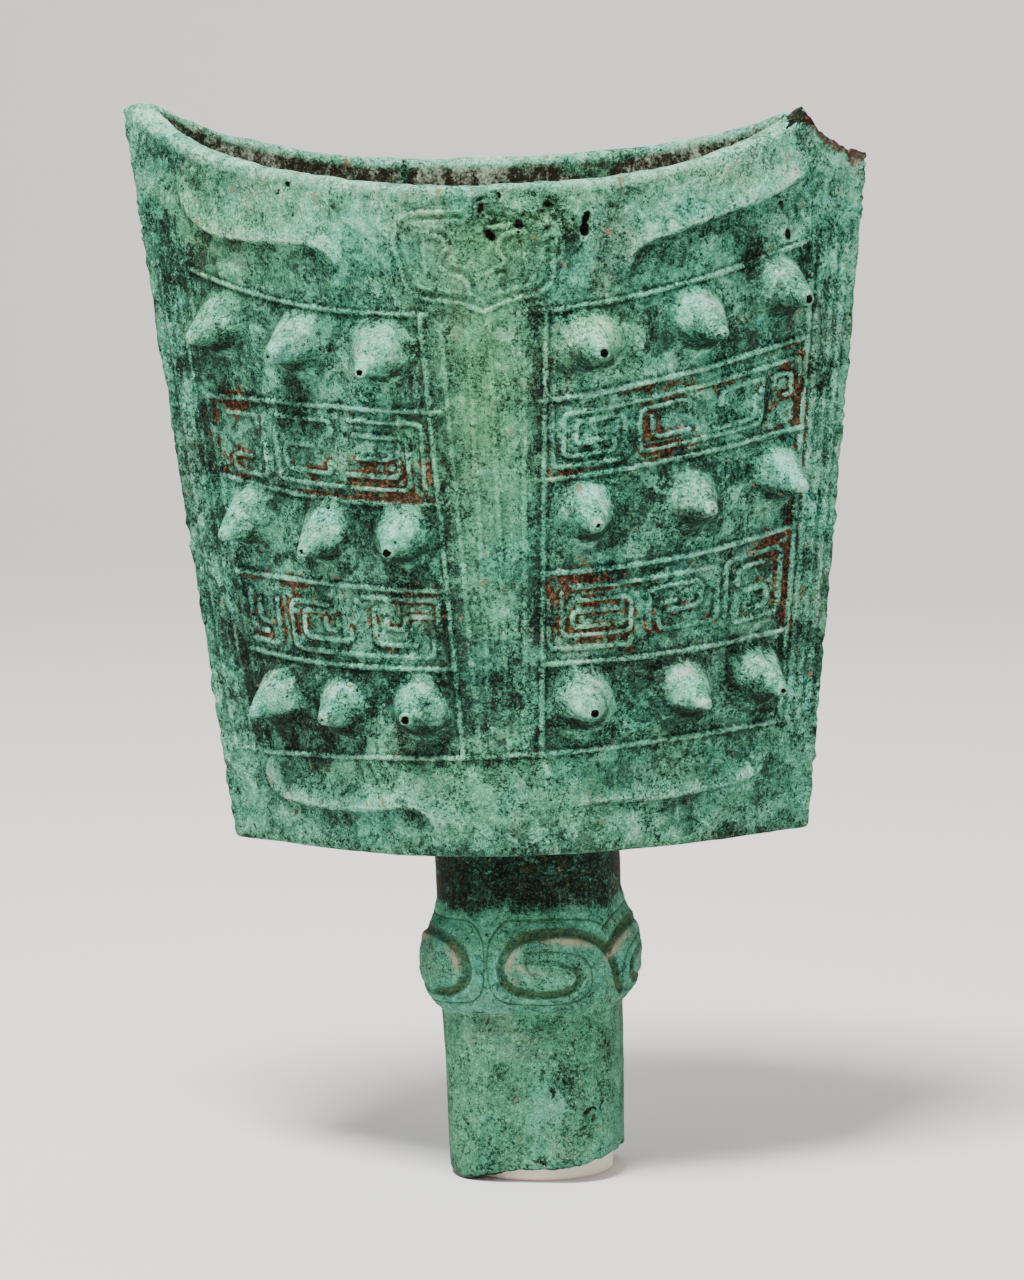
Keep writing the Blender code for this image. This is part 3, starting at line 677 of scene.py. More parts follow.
    faint_lines: tuple = ((-0.02, -0.03), (0.035, 0.03), (0.095, 0.115))
    strokes: list[Stroke] = field(default_factory=list)
    bosses: list[Boss] = field(default_factory=list)

    def __post_init__(self) -> None:
        """Draws the face's strokes and places its bosses."""
        self.draw_frame()
        self.draw_scrolls()
        self.draw_mouth_and_foot()
        self.place_bosses()

    def draw_frame(self) -> None:
        """Adds the lines across, the uprights and the faint lines beside and between them."""
        form = self.form
        for line in form.lines:
            up = line.share(0.0)
            spans = [(mix(*form.panel_left, up), mix(*form.middle_left, up)),
                     (mix(*form.middle_right, up), mix(*form.panel_right, up))]
            if line is form.lines[-1]:
                spans = [(spans[0][0], spans[1][1])]
            for low, high in spans:
                us = np.linspace(low, high, 24)
                zs = form.height(line.share(us))
                self.strokes.append(Stroke(tuple(zip(form.half_width(zs) * us, zs)), StrokeKind.LINE))
        for ends, kind in ((form.panel_left, StrokeKind.WORN), (form.panel_right, StrokeKind.UPRIGHT),
                           (form.middle_left, StrokeKind.UPRIGHT), (form.middle_right, StrokeKind.UPRIGHT)):
            self.add_upright(ends, kind)
        for ends in (form.middle_left, form.middle_right):
            self.add_upright(ends, StrokeKind.WORN, form.middle_inner)
        for ends in self.stripes:
            self.add_upright(ends, StrokeKind.STRIPE)
        for ends in self.faint_lines:
            self.add_upright(ends, StrokeKind.FAINT)

    def add_upright(self, ends: tuple[float, float], kind: StrokeKind, inward: float = 0.0) -> None:
        """Adds a straight upright from the lowest line across to the highest.

        Args:
            ends: shares of the half width at its foot and its head.
            kind: how it is shaped.
            inward: a shift towards the middle.
        """
        x0, z0, x1, z1 = self.form.guide(ends, inward)
        self.strokes.append(Stroke(((x0, z0), (x1, z1)), kind))

    def zone_stroke(
        self, zone: Zone, points: list, kind: StrokeKind, radius: float = 1.4, high_side: int = 0
    ) -> None:
        """Adds a stroke given in a zone's own shares.

        Args:
            zone: the zone.
            points: corners in hundredths of the half width and of the zone's height.
            kind: how it is shaped.
            radius: the rounding of its corners.
            high_side: for a hook, the side on which it is high.
        """
        path = []
        for (u0, t0), (u1, t1) in zip(points, points[1:]):
            parts = max(1, math.ceil(abs(u1 - u0) / 8))
            for k in range(parts):
                u = mix(u0, u1, k / parts) / 100
                z = self.form.zone_height(zone, u, mix(t0, t1, k / parts) / 100)
                path.append((float(self.form.half_width(z) * u), z))
        u, t = points[-1]
        z = self.form.zone_height(zone, u / 100, t / 100)
        path.append((float(self.form.half_width(z) * u / 100), z))
        self.strokes.append(Stroke(rounded_path(path, radius), kind, high_side))

    def draw_scrolls(self) -> None:
        """Adds the two scroll bands."""
        turns = {"L": (-1, 0), "R": (1, 0), "U": (0, 1), "D": (0, -1)}
        front = self.side == Face.FRONT
        bands = ((Zone.SCROLLS_HIGH, self.high_scrolls if front else self.back_scrolls),
                 (Zone.SCROLLS_LOW, self.low_scrolls if front else self.back_scrolls))
        for zone, scrolls in bands:
            for start_u, start_t, legs in scrolls:
                points = [(start_u, start_t)]
                for leg in legs.split():
                    way = turns[leg[0]]
                    length = float(leg[1:])
                    points.append((points[-1][0] + way[0] * length, points[-1][1] + way[1] * length))
                self.zone_stroke(zone, points, StrokeKind.SCROLL, 2.6)

    def draw_mouth_and_foot(self) -> None:
        """Adds the mask frame over the middle band and the broad hooks."""
        if self.side == Face.FRONT:
            for points in self.mask_strokes:
                self.zone_stroke(Zone.MOUTH, list(points), StrokeKind.CHANNEL, 2.5)
            for points in self.mask_lines:
                self.zone_stroke(Zone.MOUTH, list(points), StrokeKind.FAINT, 2.0)
        for points, side in zip(self.mouth_hooks, (1, -1)):
            self.zone_stroke(Zone.MOUTH, list(points), StrokeKind.HOOK, 4.0, side)
        for points, side in zip(self.foot_hooks, (1, -1)):
            self.zone_stroke(Zone.FOOT, list(points), StrokeKind.HOOK, 4.0, side)

    def place_bosses(self) -> None:
        """Places the eighteen bosses."""
        rows = (Zone.BOSSES_HIGH, Zone.BOSSES_MIDDLE, Zone.BOSSES_LOW)
        for zone, places, sizes in zip(rows, self.boss_places, self.boss_sizes):
            for (u, share), (height, droop, aside, hole) in zip(places, sizes):
                z = self.form.zone_height(zone, u, share)
                self.bosses.append(Boss(float(self.form.half_width(z) * u), z, height, droop, aside, hole))

    def relief(self, x: Array, z: Array) -> dict[str, Array]:
        """The relief at points of the drawing, bosses left out.

        Args:
            x: places across.
            z: heights.

        Returns:
            Arrays: height; ridge, cut and hole, which say how near a raised line, a groove and a pit are;
                crest, the strength of the nearest line; hollow, 0 to 1 beside lines, under the hooks and
                round pits, which paints shade there and draws rust; and pale, the painted highlight on the
                hooks' upper slopes.
        """
        names = ("height", "sunk", "ridge", "cut", "hole", "crest", "hollow", "pale")
        found = {name: np.zeros(x.shape) for name in names}
        for number, stroke in enumerate(self.strokes):
            index = stroke.close_by(x, z, max(stroke.kind.value[2], NEAR))
            if len(index):
                self.add_stroke(found, index, stroke, number, stroke.nearest(x[index], z[index]))
        height = found["height"] + found["sunk"]
        for pit in self.pits if self.side == Face.FRONT else ():
            share = pit.share(x, z)
            height -= pit.depth * np.sqrt(np.clip(1 - share**2, 0, 1))
            # A pit is painted blacker the deeper it is, a painted shade in the hole, and hollow paints shade
            # in and round it.
            blackness = min(1.0, 0.45 + 0.3 * pit.depth)
            found["hole"] = np.maximum(found["hole"], np.clip(2 - share, 0, 2) * blackness)
            found["hollow"] = np.maximum(found["hollow"], np.clip(1.3 - share, 0, 1))
            found["crest"] *= smooth_step(0.9, 1.2, share)
        found["height"] = height
        return found

    def add_stroke(self, found: dict, index: Array, stroke: Stroke, number: int, nearest: tuple) -> None:
        """Adds one stroke to the relief.

        Args:
            found: the arrays to add to.
            index: which points are near it.
            stroke: the stroke.
            number: its number, which varies its wear.
            nearest: what Stroke.nearest found there.
        """
        half, rise, reach = stroke.kind.value
        gap, side, way = nearest
        wear = 0.78 + 0.22 * np.sin(way * 0.55 + number * 1.7) * np.sin(way * 0.23 + number)
        edge_gap = gap
        strength = stroke.kind.strength * wear
        if stroke.kind == StrokeKind.HOOK:
            lifted = side * stroke.high_side > 0
            fall = np.where(lifted, 1 - smooth_step(0.3, half, gap), 1 - smooth_step(0.0, 2.4, gap))
            ends = smooth_step(-1.0, 6.0, way) * smooth_step(-1.0, 6.0, stroke.length() - way)
            keep_highest(found["height"], index, rise * fall * np.maximum(ends, 0.15) * (gap < reach))
            # Painted highlight on the hook's lifted upper slope, held in pale, and painted shadow under its
            # steep lower side, held in hollow.
            painted_hook_highlight = np.where(lifted, 0.7 * (1 - smooth_step(0.4, 6.0, gap)), 0.0)
            shade = np.where(lifted, 0.0, 0.8 * smooth_step(0.6, 1.8, gap) * (1 - smooth_step(2.5, 7.5, gap)))
            keep_highest(found["pale"], index, painted_hook_highlight * ends)
            keep_highest(found["hollow"], index, shade * ends)
            strength = 0.55 * ends
        elif rise > 0:
            shape = np.clip(1 - (gap / half) ** 2, 0.0, 1.0) ** 1.4
            keep_highest(found["height"], index, rise * wear * shape)
            # Painted shade along the feet of a raised line, held in hollow, which also draws rust there.
            beside = smooth_step(half * 0.6, half, gap) * (1 - smooth_step(half * 1.2, reach, gap))
            keep_highest(found["hollow"], index, stroke.kind.strength * beside)
        else:
            shape = np.clip(1 - (gap / half) ** 4, 0.0, 1.0)
            found["sunk"][index] = np.minimum(found["sunk"][index], rise * wear * shape)
            outer = np.where(side < 0, 1.0, 0.4)
            edge_gap = np.abs(gap - half * 1.55)
            keep_highest(found["height"], index, 0.5 * np.exp(-((edge_gap / (half * 0.45)) ** 2)) * outer)
            strength = 0.9 * outer * wear
            keep_highest(found["cut"], index, 0.68 * np.clip(3 - gap / half, 0, 3))
        ridge = np.clip(NEAR - edge_gap, 0, NEAR)
        nearer = ridge > found["ridge"][index]
        found["crest"][index] = np.where(nearer, strength, found["crest"][index])
        keep_highest(found["ridge"], index, ridge)

    def boss_lift(self, boss: Boss, gap: Array, above: Array) -> Array:
        """How far a boss lifts the skin.

        Args:
            boss: the boss.
            gap: distances from its axis on the drawing.
            above: 1 straight above its axis, -1 straight below.

        Returns:
            Lifts along its axis.
        """
        upper, under = np.array(self.boss_upper), np.array(self.boss_under)
        share = gap / self.boss_radius
        rises = [np.interp(share, profile[:, 0], profile[:, 1]) for profile in (under, upper)]
        lift = boss.height * mix(rises[0], rises[1], np.clip(0.5 + 0.5 * above, 0, 1))
        bowl = np.sqrt(np.clip(1 - (gap / max(boss.hole, 0.1)) ** 2, 0, 1))
        return lift - boss.hole * self.hole_depth * (gap < boss.hole) * bowl

    def boss_gap(self, boss: Boss, x: Array, z: Array) -> Array:
        """Distances from a boss's axis, measured along the skin.

        Args:
            boss: the boss.
            x: places across the drawing.
            z: heights on the drawing.

        Returns:
            The distances.
        """
        outward = self.form.outward(self.side, np.array([boss.x]), np.array([boss.z]))[0]
        stretch = 1 / math.sqrt(max(1e-6, 1 - outward[0] ** 2))
        return np.hypot((x - boss.x) * stretch, (z - boss.z) * 1.01)


def soft_patches(x: Array, z: Array, patches: tuple) -> Array:
    """A field of soft oval patches.

    Args:
        x: places across.
        z: heights.
        patches: (x, z, half width, half height, strength) of each patch.

    Returns:
        The field.
    """
    total = np.zeros(x.shape)
    for px, pz, wide, high, strength in patches:
        total += strength * np.exp(-(((x - px) / wide) ** 2) - ((z - pz) / high) ** 2)
    return total


def drawn_out(bm: BMesh, edges: list[BMEdge]) -> tuple[list, list]:
    """Extrudes open edges.

    Args:
        bm: the mesh.
        edges: its open edges to extrude.

    Returns:
        The new points, and the open edges between them.
    """
    made = bmesh.ops.extrude_edge_only(bm, edges=edges)["geom"]
    verts = [item for item in made if isinstance(item, BMVert)]
    new = set(verts)
    open_edges = [item for item in made if isinstance(item, BMEdge) and item.is_boundary]
    return verts, [edge for edge in open_edges if new.issuperset(edge.verts)]


def field_layers(bm: BMesh) -> dict:
    """The mesh's layers for the patina's fields, by their names."""
    return {name: bm.verts.layers.float[name] for name in FIELDS}


def write_fields(verts: list[BMVert], layers: dict, fields: dict[str, Array]) -> None:
    """Writes the patina's fields to points.

    Args:
        verts: the points.
        layers: the mesh's layers by name.
        fields: an array for each name, with a value for each point.
    """
    for name, values in fields.items():
        layer = layers[name]
        for vert, value in zip(verts, values):
            vert[layer] = float(value)


@dataclass(frozen=True)
class PatinaMap:
    """Where the casting is rusty, dark, pale, warm, pitted, calm or sooty.

    Each patch is a soft oval: its place across, its height, its half width, its half height and its strength.
    The last four give rust, dark, pale and warm for the regions that have no patches.
    """

    rust: tuple = (
        (-93, 272, 7, 20, 0.75), (-88, 232, 6, 16, 0.5), (-34, 257, 18, 5, 0.6), (-62, 262, 8, 8, 0.3),
        (104, 277, 6, 16, 0.65), (104, 250, 5, 14, 0.7), (57, 268, 6, 12, 0.5), (62, 282, 22, 3, 0.4),
        (-74, 216, 7, 14, 0.6), (-50, 205, 26, 4, 0.5), (-24, 212, 8, 10, 0.45), (30, 212, 17, 14, 0.62),
        (96, 222, 9, 18, 0.65), (58, 200, 22, 4, 0.5), (99, 196, 4, 10, 0.5), (-58, 249, 12, 4, 0.55),
        (-32, 248, 14, 4, 0.7), (22, 254, 14, 3, 0.6), (62, 262, 14, 3, 0.4), (8, 167, 22, 3.5, 0.6),
        (10, 345, 16, 5, 0.55), (36, 340, 4, 5, 0.4), (-80, 198, 20, 4, 0.3), (-106, 246, 5, 40, 0.28),
        (-58, 293, 22, 14, 0.12), (109, 214, 5, 30, 0.3),
    )
    dark: tuple = (
        (40, 330, 14, 8, 0.3), (89.5, 330, 5, 14, 0.7), (98, 322, 6, 9, 0.2), (-52, 316, 22, 7, 0.35),
        (-17, 205, 4.5, 42, 0.7), (17, 212, 4.5, 40, 0.6), (2, 180, 14, 14, 0.4), (-82, 172, 14, 16, 0.5),
        (62, 150, 44, 10, 0.3), (-66, 152, 7, 9, 0.8), (-104, 250, 5, 40, 0.5), (-113, 330, 9, 50, 0.55),
        (56, 350, 18, 5, 0.2), (-98, 200, 6, 30, 0.45), (108, 200, 6, 30, 0.4), (112, 300, 3, 40, 0.4),
        (-21, 285, 3.5, 30, 0.4), (20, 290, 3, 30, 0.3),
    )
    pale: tuple = (
        (-70, 350, 40, 9, 0.3), (60, 354, 40, 8, 0.3), (-20, 146, 40, 9, 0.15), (106, 240, 7, 60, 0.25),
        (96, 340, 8, 10, 0.2),
    )
    warm: tuple = (
        (0, 290, 24, 60, 1.0), (-80, 350, 40, 20, 0.5), (10, 150, 60, 16, 0.4), (-104, 330, 14, 30, 0.6),
        (20, 340, 24, 12, 0.8), (41, 306, 14, 12, 0.6), (62, 356, 30, 8, 0.4),
    )
    pitted: tuple = ((16, 343, 22, 10, 1.0),)
    calm: tuple = (
        (0, 260, 19, 75, 1.0), (0, 142, 90, 12, 0.6), (-70, 350, 50, 14, 0.5), (-60, 316, 40, 16, 0.45),
        (64, 322, 40, 16, 0.3), (-20, 335, 24, 12, 0.6),
    )
    soot: tuple = ((110.0, 373.0, 5.0, 4.0, 1.2), (-117, 336, 2.5, 40, 0.3))
    green_on_neck: tuple = ((-72, 108, 13, 14, 0.75), (-24, 106, 8, 12, 0.6), (-46, 104, 18, 8, 0.42))
    moss_on_shank: tuple = (
        (-44, 36, 6, 5, 0.6), (-34, 24, 6, 7, 0.6), (-24, 46, 4, 5, 0.5), (-26, 28, 5, 5, 0.4),
        (-38, 42, 5, 3, 0.4), (-66, 28, 4, 4, 0.4), (-56, 8, 20, 3, 0.35),
    )
    lip: tuple[float, ...] = (0.25, 0.05, 0.6, 0.25)
    inside: tuple[float, ...] = (0.5, 0.35, 0.0, 0.6)
    broken_end: tuple[float, ...] = (0.7, 1.1, 0.0, 0.2)
    underside: tuple[float, ...] = (0.1, 0.25, 0.0, 0.2)


@dataclass
class BellCasting:
    """The bell: one closed casting, from the broken end of the shank to the rim and down the inside.

    finer_front and finer_back say how far from strokes and from bosses the grid is split, once for each pair.
    The fields after panel_turn are the steps of the rings from the rim down the inside, round the broken end
    and up the shank: insets and heights at the lip, shares of the way down the wall, and so on.
    """

    form: BellForm = field(default_factory=BellForm)
    shank: ShankForm = field(default_factory=ShankForm)
    patina: PatinaMap = field(default_factory=PatinaMap)
    front_columns: tuple[int, ...] = (12, 29, 1, 8, 1, 30, 11)
    back_columns: tuple[int, ...] = (5, 16, 1, 4, 1, 16, 5)
    zone_rows: tuple[int, ...] = (26, 12, 11, 12, 11, 12, 13)
    margin_crowding: float = 1.25
    line_offsets: tuple[float, ...] = (-1.3, -0.6, 0.0, 0.6, 1.3)
    finer_front: Pairs = ((2.2, 13.6), (1.05, 4.7))
    finer_back: Pairs = ((2.2, 12.0),)
    panel_turn: float = 14.0
    lip_steps: tuple = ((0.5, 0.75), (1.6, 1.25), (3.5, 1.45), (5.4, 1.2), (6.5, 0.5), (7.0, -0.8))
    inside_shares: tuple = (
        0.015, 0.04, 0.08, 0.14, 0.22, 0.32, 0.42, 0.52, 0.62, 0.72, 0.81, 0.89, 0.945, 0.975,
    )
    floor_steps: tuple = ((7.4, 2.2), (9.0, 0.7), (12.0, 0.0))
    floor_shares: tuple = (0.25, 0.5, 0.75, 0.94)
    bore_edge: float = 1.05
    broken_end_steps: tuple = ((0.15, 0.05), (0.5, 0.0), (0.85, 0.1))
    ring_reach: float = 0.56
    underside_shares: tuple = (0.12, 0.3, 0.5, 0.7, 0.86, 0.965)
    foot_round: tuple = ((0.55, 0.35), (0.9, 1.3), (1.0, 3.2))
    foot_inset: tuple[float, float] = (0.975, 0.955)
    spiral_groove: tuple = (
        (47, -13), (44, -11.5), (41, -4.5), (36, 2.6), (29, 7.0), (19, 9.7), (7, 10.7), (-6, 10.1),
        (-16, 7.9), (-22, 3.9), (-25, -2.0), (-23, -6.9), (-17, -9.9), (-7, -11.2), (3, -11.2),
        (12, -10.3), (17, -7.6), (17, -3.9), (12, -1.4), (5, -0.3), (-3, -0.1), (-10, 0.0),
    )
    spiral_line: tuple = (
        (38, 9.7), (33, 12.2), (26, 14.0), (7, 15.0), (-8, 14.7), (-22, 14.8), (-28, 11.8), (-32, 7.2),
        (-33, -0.7), (-32, -7.3), (-30, -11.6), (-24, -14.2), (-10, -14.8), (5, -14.9), (18, -14.1),
        (24, -11.7), (25, -7.5), (24, -2.1), (19, 1.9), (11, 3.6), (1, 4.3), (-8, 4.0), (-11, 1.2),
        (-10, -2.1), (-6, -4.4),
    )
    arts: dict = field(default_factory=dict)

    def __post_init__(self) -> None:
        """Draws both faces."""
        for side in Face:
            self.arts[side] = FaceArt(self.form, side)

    # The skin's grid

    def column_guides(self) -> list[tuple[float, float, float, float]]:
        """The uprights that the grid's columns follow.

        Returns:
            The foot and head of each, from the left.
        """
        form = self.form
        return [
            form.guide(form.panel_left), form.guide(form.middle_left),
            form.guide(form.middle_left, form.middle_inner), form.guide(form.middle_right, form.middle_inner),
            form.guide(form.middle_right), form.guide(form.panel_right),
        ]

    def lines_between(
        self, guides: list[Array], counts: tuple[int, ...], crowding: float = 1.0
    ) -> Array:
        """Places the grid's lines between guides, and a few close together along each guide.

        Args:
            guides: places of the guides, each with one row for every line of the grid.
            counts: how many steps lie between one guide and the next.
            crowding: how much closer the lines stand at the outer guides.

        Returns:
            The places, one row for every line.
        """
        offsets = self.line_offsets
        last = len(guides) - 2
        lines = []
        for number, (low, high) in enumerate(zip(guides, guides[1:])):
            start = low if number == 0 else low + offsets[-1]
            end = high if number == last else high + offsets[0]
            for k in range(counts[number] + 1):
                share = k / counts[number]
                if number == 0:
                    share = share**crowding
                elif number == last and crowding != 1:
                    share = 1 - (1 - share) ** crowding
                lines.append(mix(start, end, share)[len(lines)])
            for offset in offsets[1:-1] if number < last else ():
                lines.append((high + offset)[len(lines)])
        return np.stack(lines, 0)

    def line_count(self, counts: tuple[int, ...]) -> int:
        """How many lines lines_between makes."""
        return sum(counts) + len(counts) + (len(counts) - 1) * (len(self.line_offsets) - 2)

    def column_places(self, z: Array, counts: tuple[int, ...]) -> Array:
        """The places across of the grid's columns.

        Args:
            z: heights, one row of them per row of the grid.
            counts: how many steps lie between one upright and the next.

        Returns:
            An array of places with one column per grid column.
        """
        width = self.form.half_width(z)
        uprights = [mix(x0, x1, (z - z0) / (z1 - z0)) for x0, z0, x1, z1 in self.column_guides()]
        guides = [guide.T for guide in (-width, *uprights, width)]
        return self.lines_between(guides, counts, self.margin_crowding).T

    def row_heights(self, side: Face, x: Array, u: Array) -> Array:
        """The heights of the grid's rows.

        Args:
            side: the face.
            x: places across the drawing, rows by columns.
            u: the same as shares of the half width.

        Returns:
            Heights, rows by columns, from the foot up.
        """
        form = self.form
        guides = [np.full(u.shape, form.shank_length + self.foot_round[-1][1])]
        guides += [form.height(line.skin_share(u)) for line in reversed(form.lines)]
        guides.append(form.broken_rim(side, -side * x, -side * u))
        return self.lines_between(guides, tuple(reversed(self.zone_rows)))

    def grid_places(self, side: Face, counts: tuple[int, ...]) -> tuple[Array, Array]:
        """The drawing places of the grid's points.

        Args:
            side: the face.
            counts: the steps between uprights.

        Returns:
            Places across and heights, rows by columns.
        """
        rows, columns = self.line_count(self.zone_rows), self.line_count(counts)
        z = np.linspace(self.form.shank_length, self.form.height(0.9), rows)[:, None].repeat(columns, 1)
        for _ in range(8):
            x = self.column_places(z, counts)
            z = self.row_heights(side, x, x / self.form.half_width(z))
        x = self.column_places(z, counts)
        return x, z

    def add_face(self, bm: BMesh, side: Face, counts: tuple[int, ...], first_column: int) -> None:
        """Adds one face's skin with its relief.

        Args:
            bm: the mesh to add to.
            side: the face.
            counts: the steps between uprights.
            first_column: the number of its first column in the whole ring of columns.
        """
        x, z = self.grid_places(side, counts)
        rows, columns = x.shape
        sheet = bmesh.new()
        column_layer = sheet.verts.layers.int.new("column")
        bmesh.ops.create_grid(sheet, x_segments=columns - 1, y_segments=rows - 1, size=1.0)
        for vert in sheet.verts:
            column = round((vert.co.x + 1) / 2 * (columns - 1))
            row = round((vert.co.y + 1) / 2 * (rows - 1))
            vert[column_layer] = first_column + column
            vert.co = (x[row, column], z[row, column], 0.0)
        self.refine(sheet, side)
        self.raise_relief(sheet, side)
        mesh = bpy.data.meshes.new("face")
        sheet.to_mesh(mesh)
        sheet.free()
        bm.from_mesh(mesh)
        bpy.data.meshes.remove(mesh)

    def refine(self, sheet: BMesh, side: Face) -> None:
        """Splits the grid's faces finer where strokes and bosses need it.

        Args:
            sheet: the flat grid.
            side: the face.
        """
        art = self.arts[side]
        front = side == Face.FRONT
        left_out = {StrokeKind.LINE, StrokeKind.UPRIGHT, StrokeKind.WORN, StrokeKind.STRIPE}
        for reach, boss_reach in self.finer_front if front else self.finer_back:
            sheet.faces.ensure_lookup_table()
            middles = np.array([face.calc_center_median()[:2] for face in sheet.faces])
            px, pz = middles[:, 0], middles[:, 1]
            chosen = np.zeros(len(px), bool)
            for stroke in art.strokes:
                if stroke.kind in left_out:
                    continue
                margin = reach + (1.5 if stroke.kind == StrokeKind.CHANNEL else 0.3)
                index = stroke.close_by(px, pz, margin)
                gap, _, _ = stroke.nearest(px[index], pz[index])
                chosen[index] |= gap < margin
            for boss in art.bosses:
                chosen |= art.boss_gap(boss, px, pz) < boss_reach
            for pit in art.pits if front else ():
                chosen |= np.hypot(px - pit.x, pz - pit.z) < pit.high + reach
            edges = {
                edge for face, use in zip(sheet.faces, chosen) if use
                for edge in face.edges if not edge.is_boundary
            }
            bmesh.ops.subdivide_edges(sheet, edges=list(edges), cuts=1, use_grid_fill=True)
            left_out.add(StrokeKind.HOOK)

    def raise_relief(self, sheet: BMesh, side: Face) -> None:
        """Lays the flat grid on the body and raises its relief.

        Args:
            sheet: the flat grid, which becomes the face.
            side: the face.
        """
        art = self.arts[side]
        layers = {name: sheet.verts.layers.float.new(name) for name in FIELDS}
        region = sheet.verts.layers.int.new("region")
        flat = np.array([vert.co[:2] for vert in sheet.verts])
        x, z = flat[:, 0], flat[:, 1]
        found = art.relief(x, z)
        width = self.form.half_width(z)
        calm = 1 - smooth_step(0.975, 0.995, np.abs(x / width))
        normals = self.form.outward(side, x, z)
        points = self.form.skin(side, x, z)
        lift = found["height"] * calm
        crest, hollow = found["crest"] * calm, found["hollow"] * calm
        hole = found["hole"]
        moved = np.zeros(points.shape)
        pale = np.zeros(len(x))
        dark = np.zeros(len(x))
        bare = np.ones(len(x))
        for boss in art.bosses:
            gap = art.boss_gap(boss, x, z)
            index = np.nonzero(gap < art.boss_radius * 1.3)[0]
            axis = self.form.outward(side, np.array([boss.x]), np.array([boss.z]))[0]
            up = np.array([0.0, 0.0, 1.0]) - axis * axis[2]
            up /= np.linalg.norm(up)
            aside = np.cross(up, axis)
            rise = art.boss_lift(boss, gap[index], (z[index] - boss.z) / np.maximum(gap[index], 0.5))
            share = (rise / boss.height) ** 1.3
            cover = smooth_step(0.0, 1.0, rise)
            droop, turn = boss.droop * share, boss.aside * share
            moved[index] += axis * rise[:, None] - up * droop[:, None] + aside * turn[:, None]
            lift[index] *= 1 - cover
            crest[index] *= 1 - cover
            hollow[index] *= 1 - cover
            # Painted light on each boss: it is a little paler all over, its upper side and the top of its tip
            # are painted paler still, a painted highlight, and its underside darker, a painted shade held in
            # dark.
            above = (z[index] - boss.z) / art.boss_radius
            body = smooth_step(0.08, 0.30, rise / boss.height)
            tip = smooth_step(0.86, 0.97, rise / boss.height) * (above > -0.12)
            pale[index] = np.maximum(pale[index], np.clip(body * (0.22 + 0.55 * above) + 0.45 * tip, 0, 1))
            high = 0.6 * smooth_step(0.8, 1.0, rise / boss.height)
            under = np.clip(-above * 1.5 - 0.02, 0, 1) * body * (1 - high)
            bare[index] = 1 - body
            dark[index] = np.maximum(dark[index], 1.5 * under)
            if boss.hole > 0:
                hole[index] = np.maximum(hole[index], np.clip(2 - gap[index] / boss.hole, 0, 2))
            # A ring of painted shade round the boss's foot, held in hollow.
            out = gap[index] / art.boss_radius
            ring = smooth_step(0.85, 1.0, out) * (1 - smooth_step(1.05, 1.3, out))
            hollow[index] = np.maximum(hollow[index], 0.55 * ring)
        points = points + normals * lift[:, None] + moved
        fields = self.face_fields(side, x, z)
        # pale and dark now also hold the painted highlight and painted shade of the bosses and the hooks.
        fields["pale"] = np.clip(fields["pale"] + found["pale"] + pale, 0, 1)
        fields["rust"] = fields["rust"] * np.maximum(bare, 0.25)
        fields["dark"] = np.clip(fields["dark"] * bare + dark, 0, 2)
        fields.update(crest=crest, hollow=hollow, hole=hole, ridge=found["ridge"], cut=found["cut"])
        for vert, point in zip(sheet.verts, points):
            vert.co = point
            vert[region] = Region.FACE
        write_fields(list(sheet.verts), layers, fields)

    def face_fields(self, side: Face, x: Array, z: Array) -> dict[str, Array]:
        """The broad fields of the patina on a face.

        Args:
            side: the face.
            x: places across the drawing.
            z: heights.

        Returns:
            An array for each field that doesn't follow the relief.
        """
        form, patina = self.form, self.patina
        u = x / form.half_width(z)
        rim_gap = form.broken_rim(side, -side * x, -side * u) - z
        heights = [form.height(line.skin_share(u)) for line in form.lines]

        def strip(top: int, soft: float) -> Array:
            """The strip between two lines across, with soft edges."""
            return smooth_step(0, soft, heights[top] - z) * smooth_step(0, soft, z - heights[top + 1])

        bands = strip(1, 2) + strip(3, 2)
        rows = 0.25 * strip(0, 3) + 0.5 * strip(2, 3) + 0.85 * strip(4, 3)
        in_panel = smooth_step(-0.90, -0.85, u) * (1 - smooth_step(0.87, 0.90, u))
        middle = smooth_step(-0.17, -0.13, u) * (1 - smooth_step(0.14, 0.18, u))
        panel = in_panel * (1 - middle)
        rust = 0.26 * bands * panel + 0.10 * panel + soft_patches(x, z, patina.rust)
        dark = 0.42 * rows * panel + 0.10 * bands * panel + soft_patches(x, z, patina.dark)
        pale = 0.5 * (1 - smooth_step(0.3, 3.6, rim_gap)) + soft_patches(x, z, patina.pale)
        pitted = 0.35 * (1 - smooth_step(2.0, 14.0, rim_gap)) + soft_patches(x, z, patina.pitted)
        zero = np.zeros(x.shape)
        return {
            "rust": np.clip(rust, 0, 1), "dark": np.clip(dark, 0, 1.2), "pale": np.clip(pale, 0, 1),
            "warm": np.clip(soft_patches(x, z, patina.warm), 0, 1), "worn": zero,
            "pitted": np.clip(pitted, 0, 1), "calm": np.clip(soft_patches(x, z, patina.calm), 0, 1),
            "soot": soft_patches(x, z, patina.soot) if side == Face.FRONT else zero,
        }

    # The rest of the casting, drawn out from the faces' rims

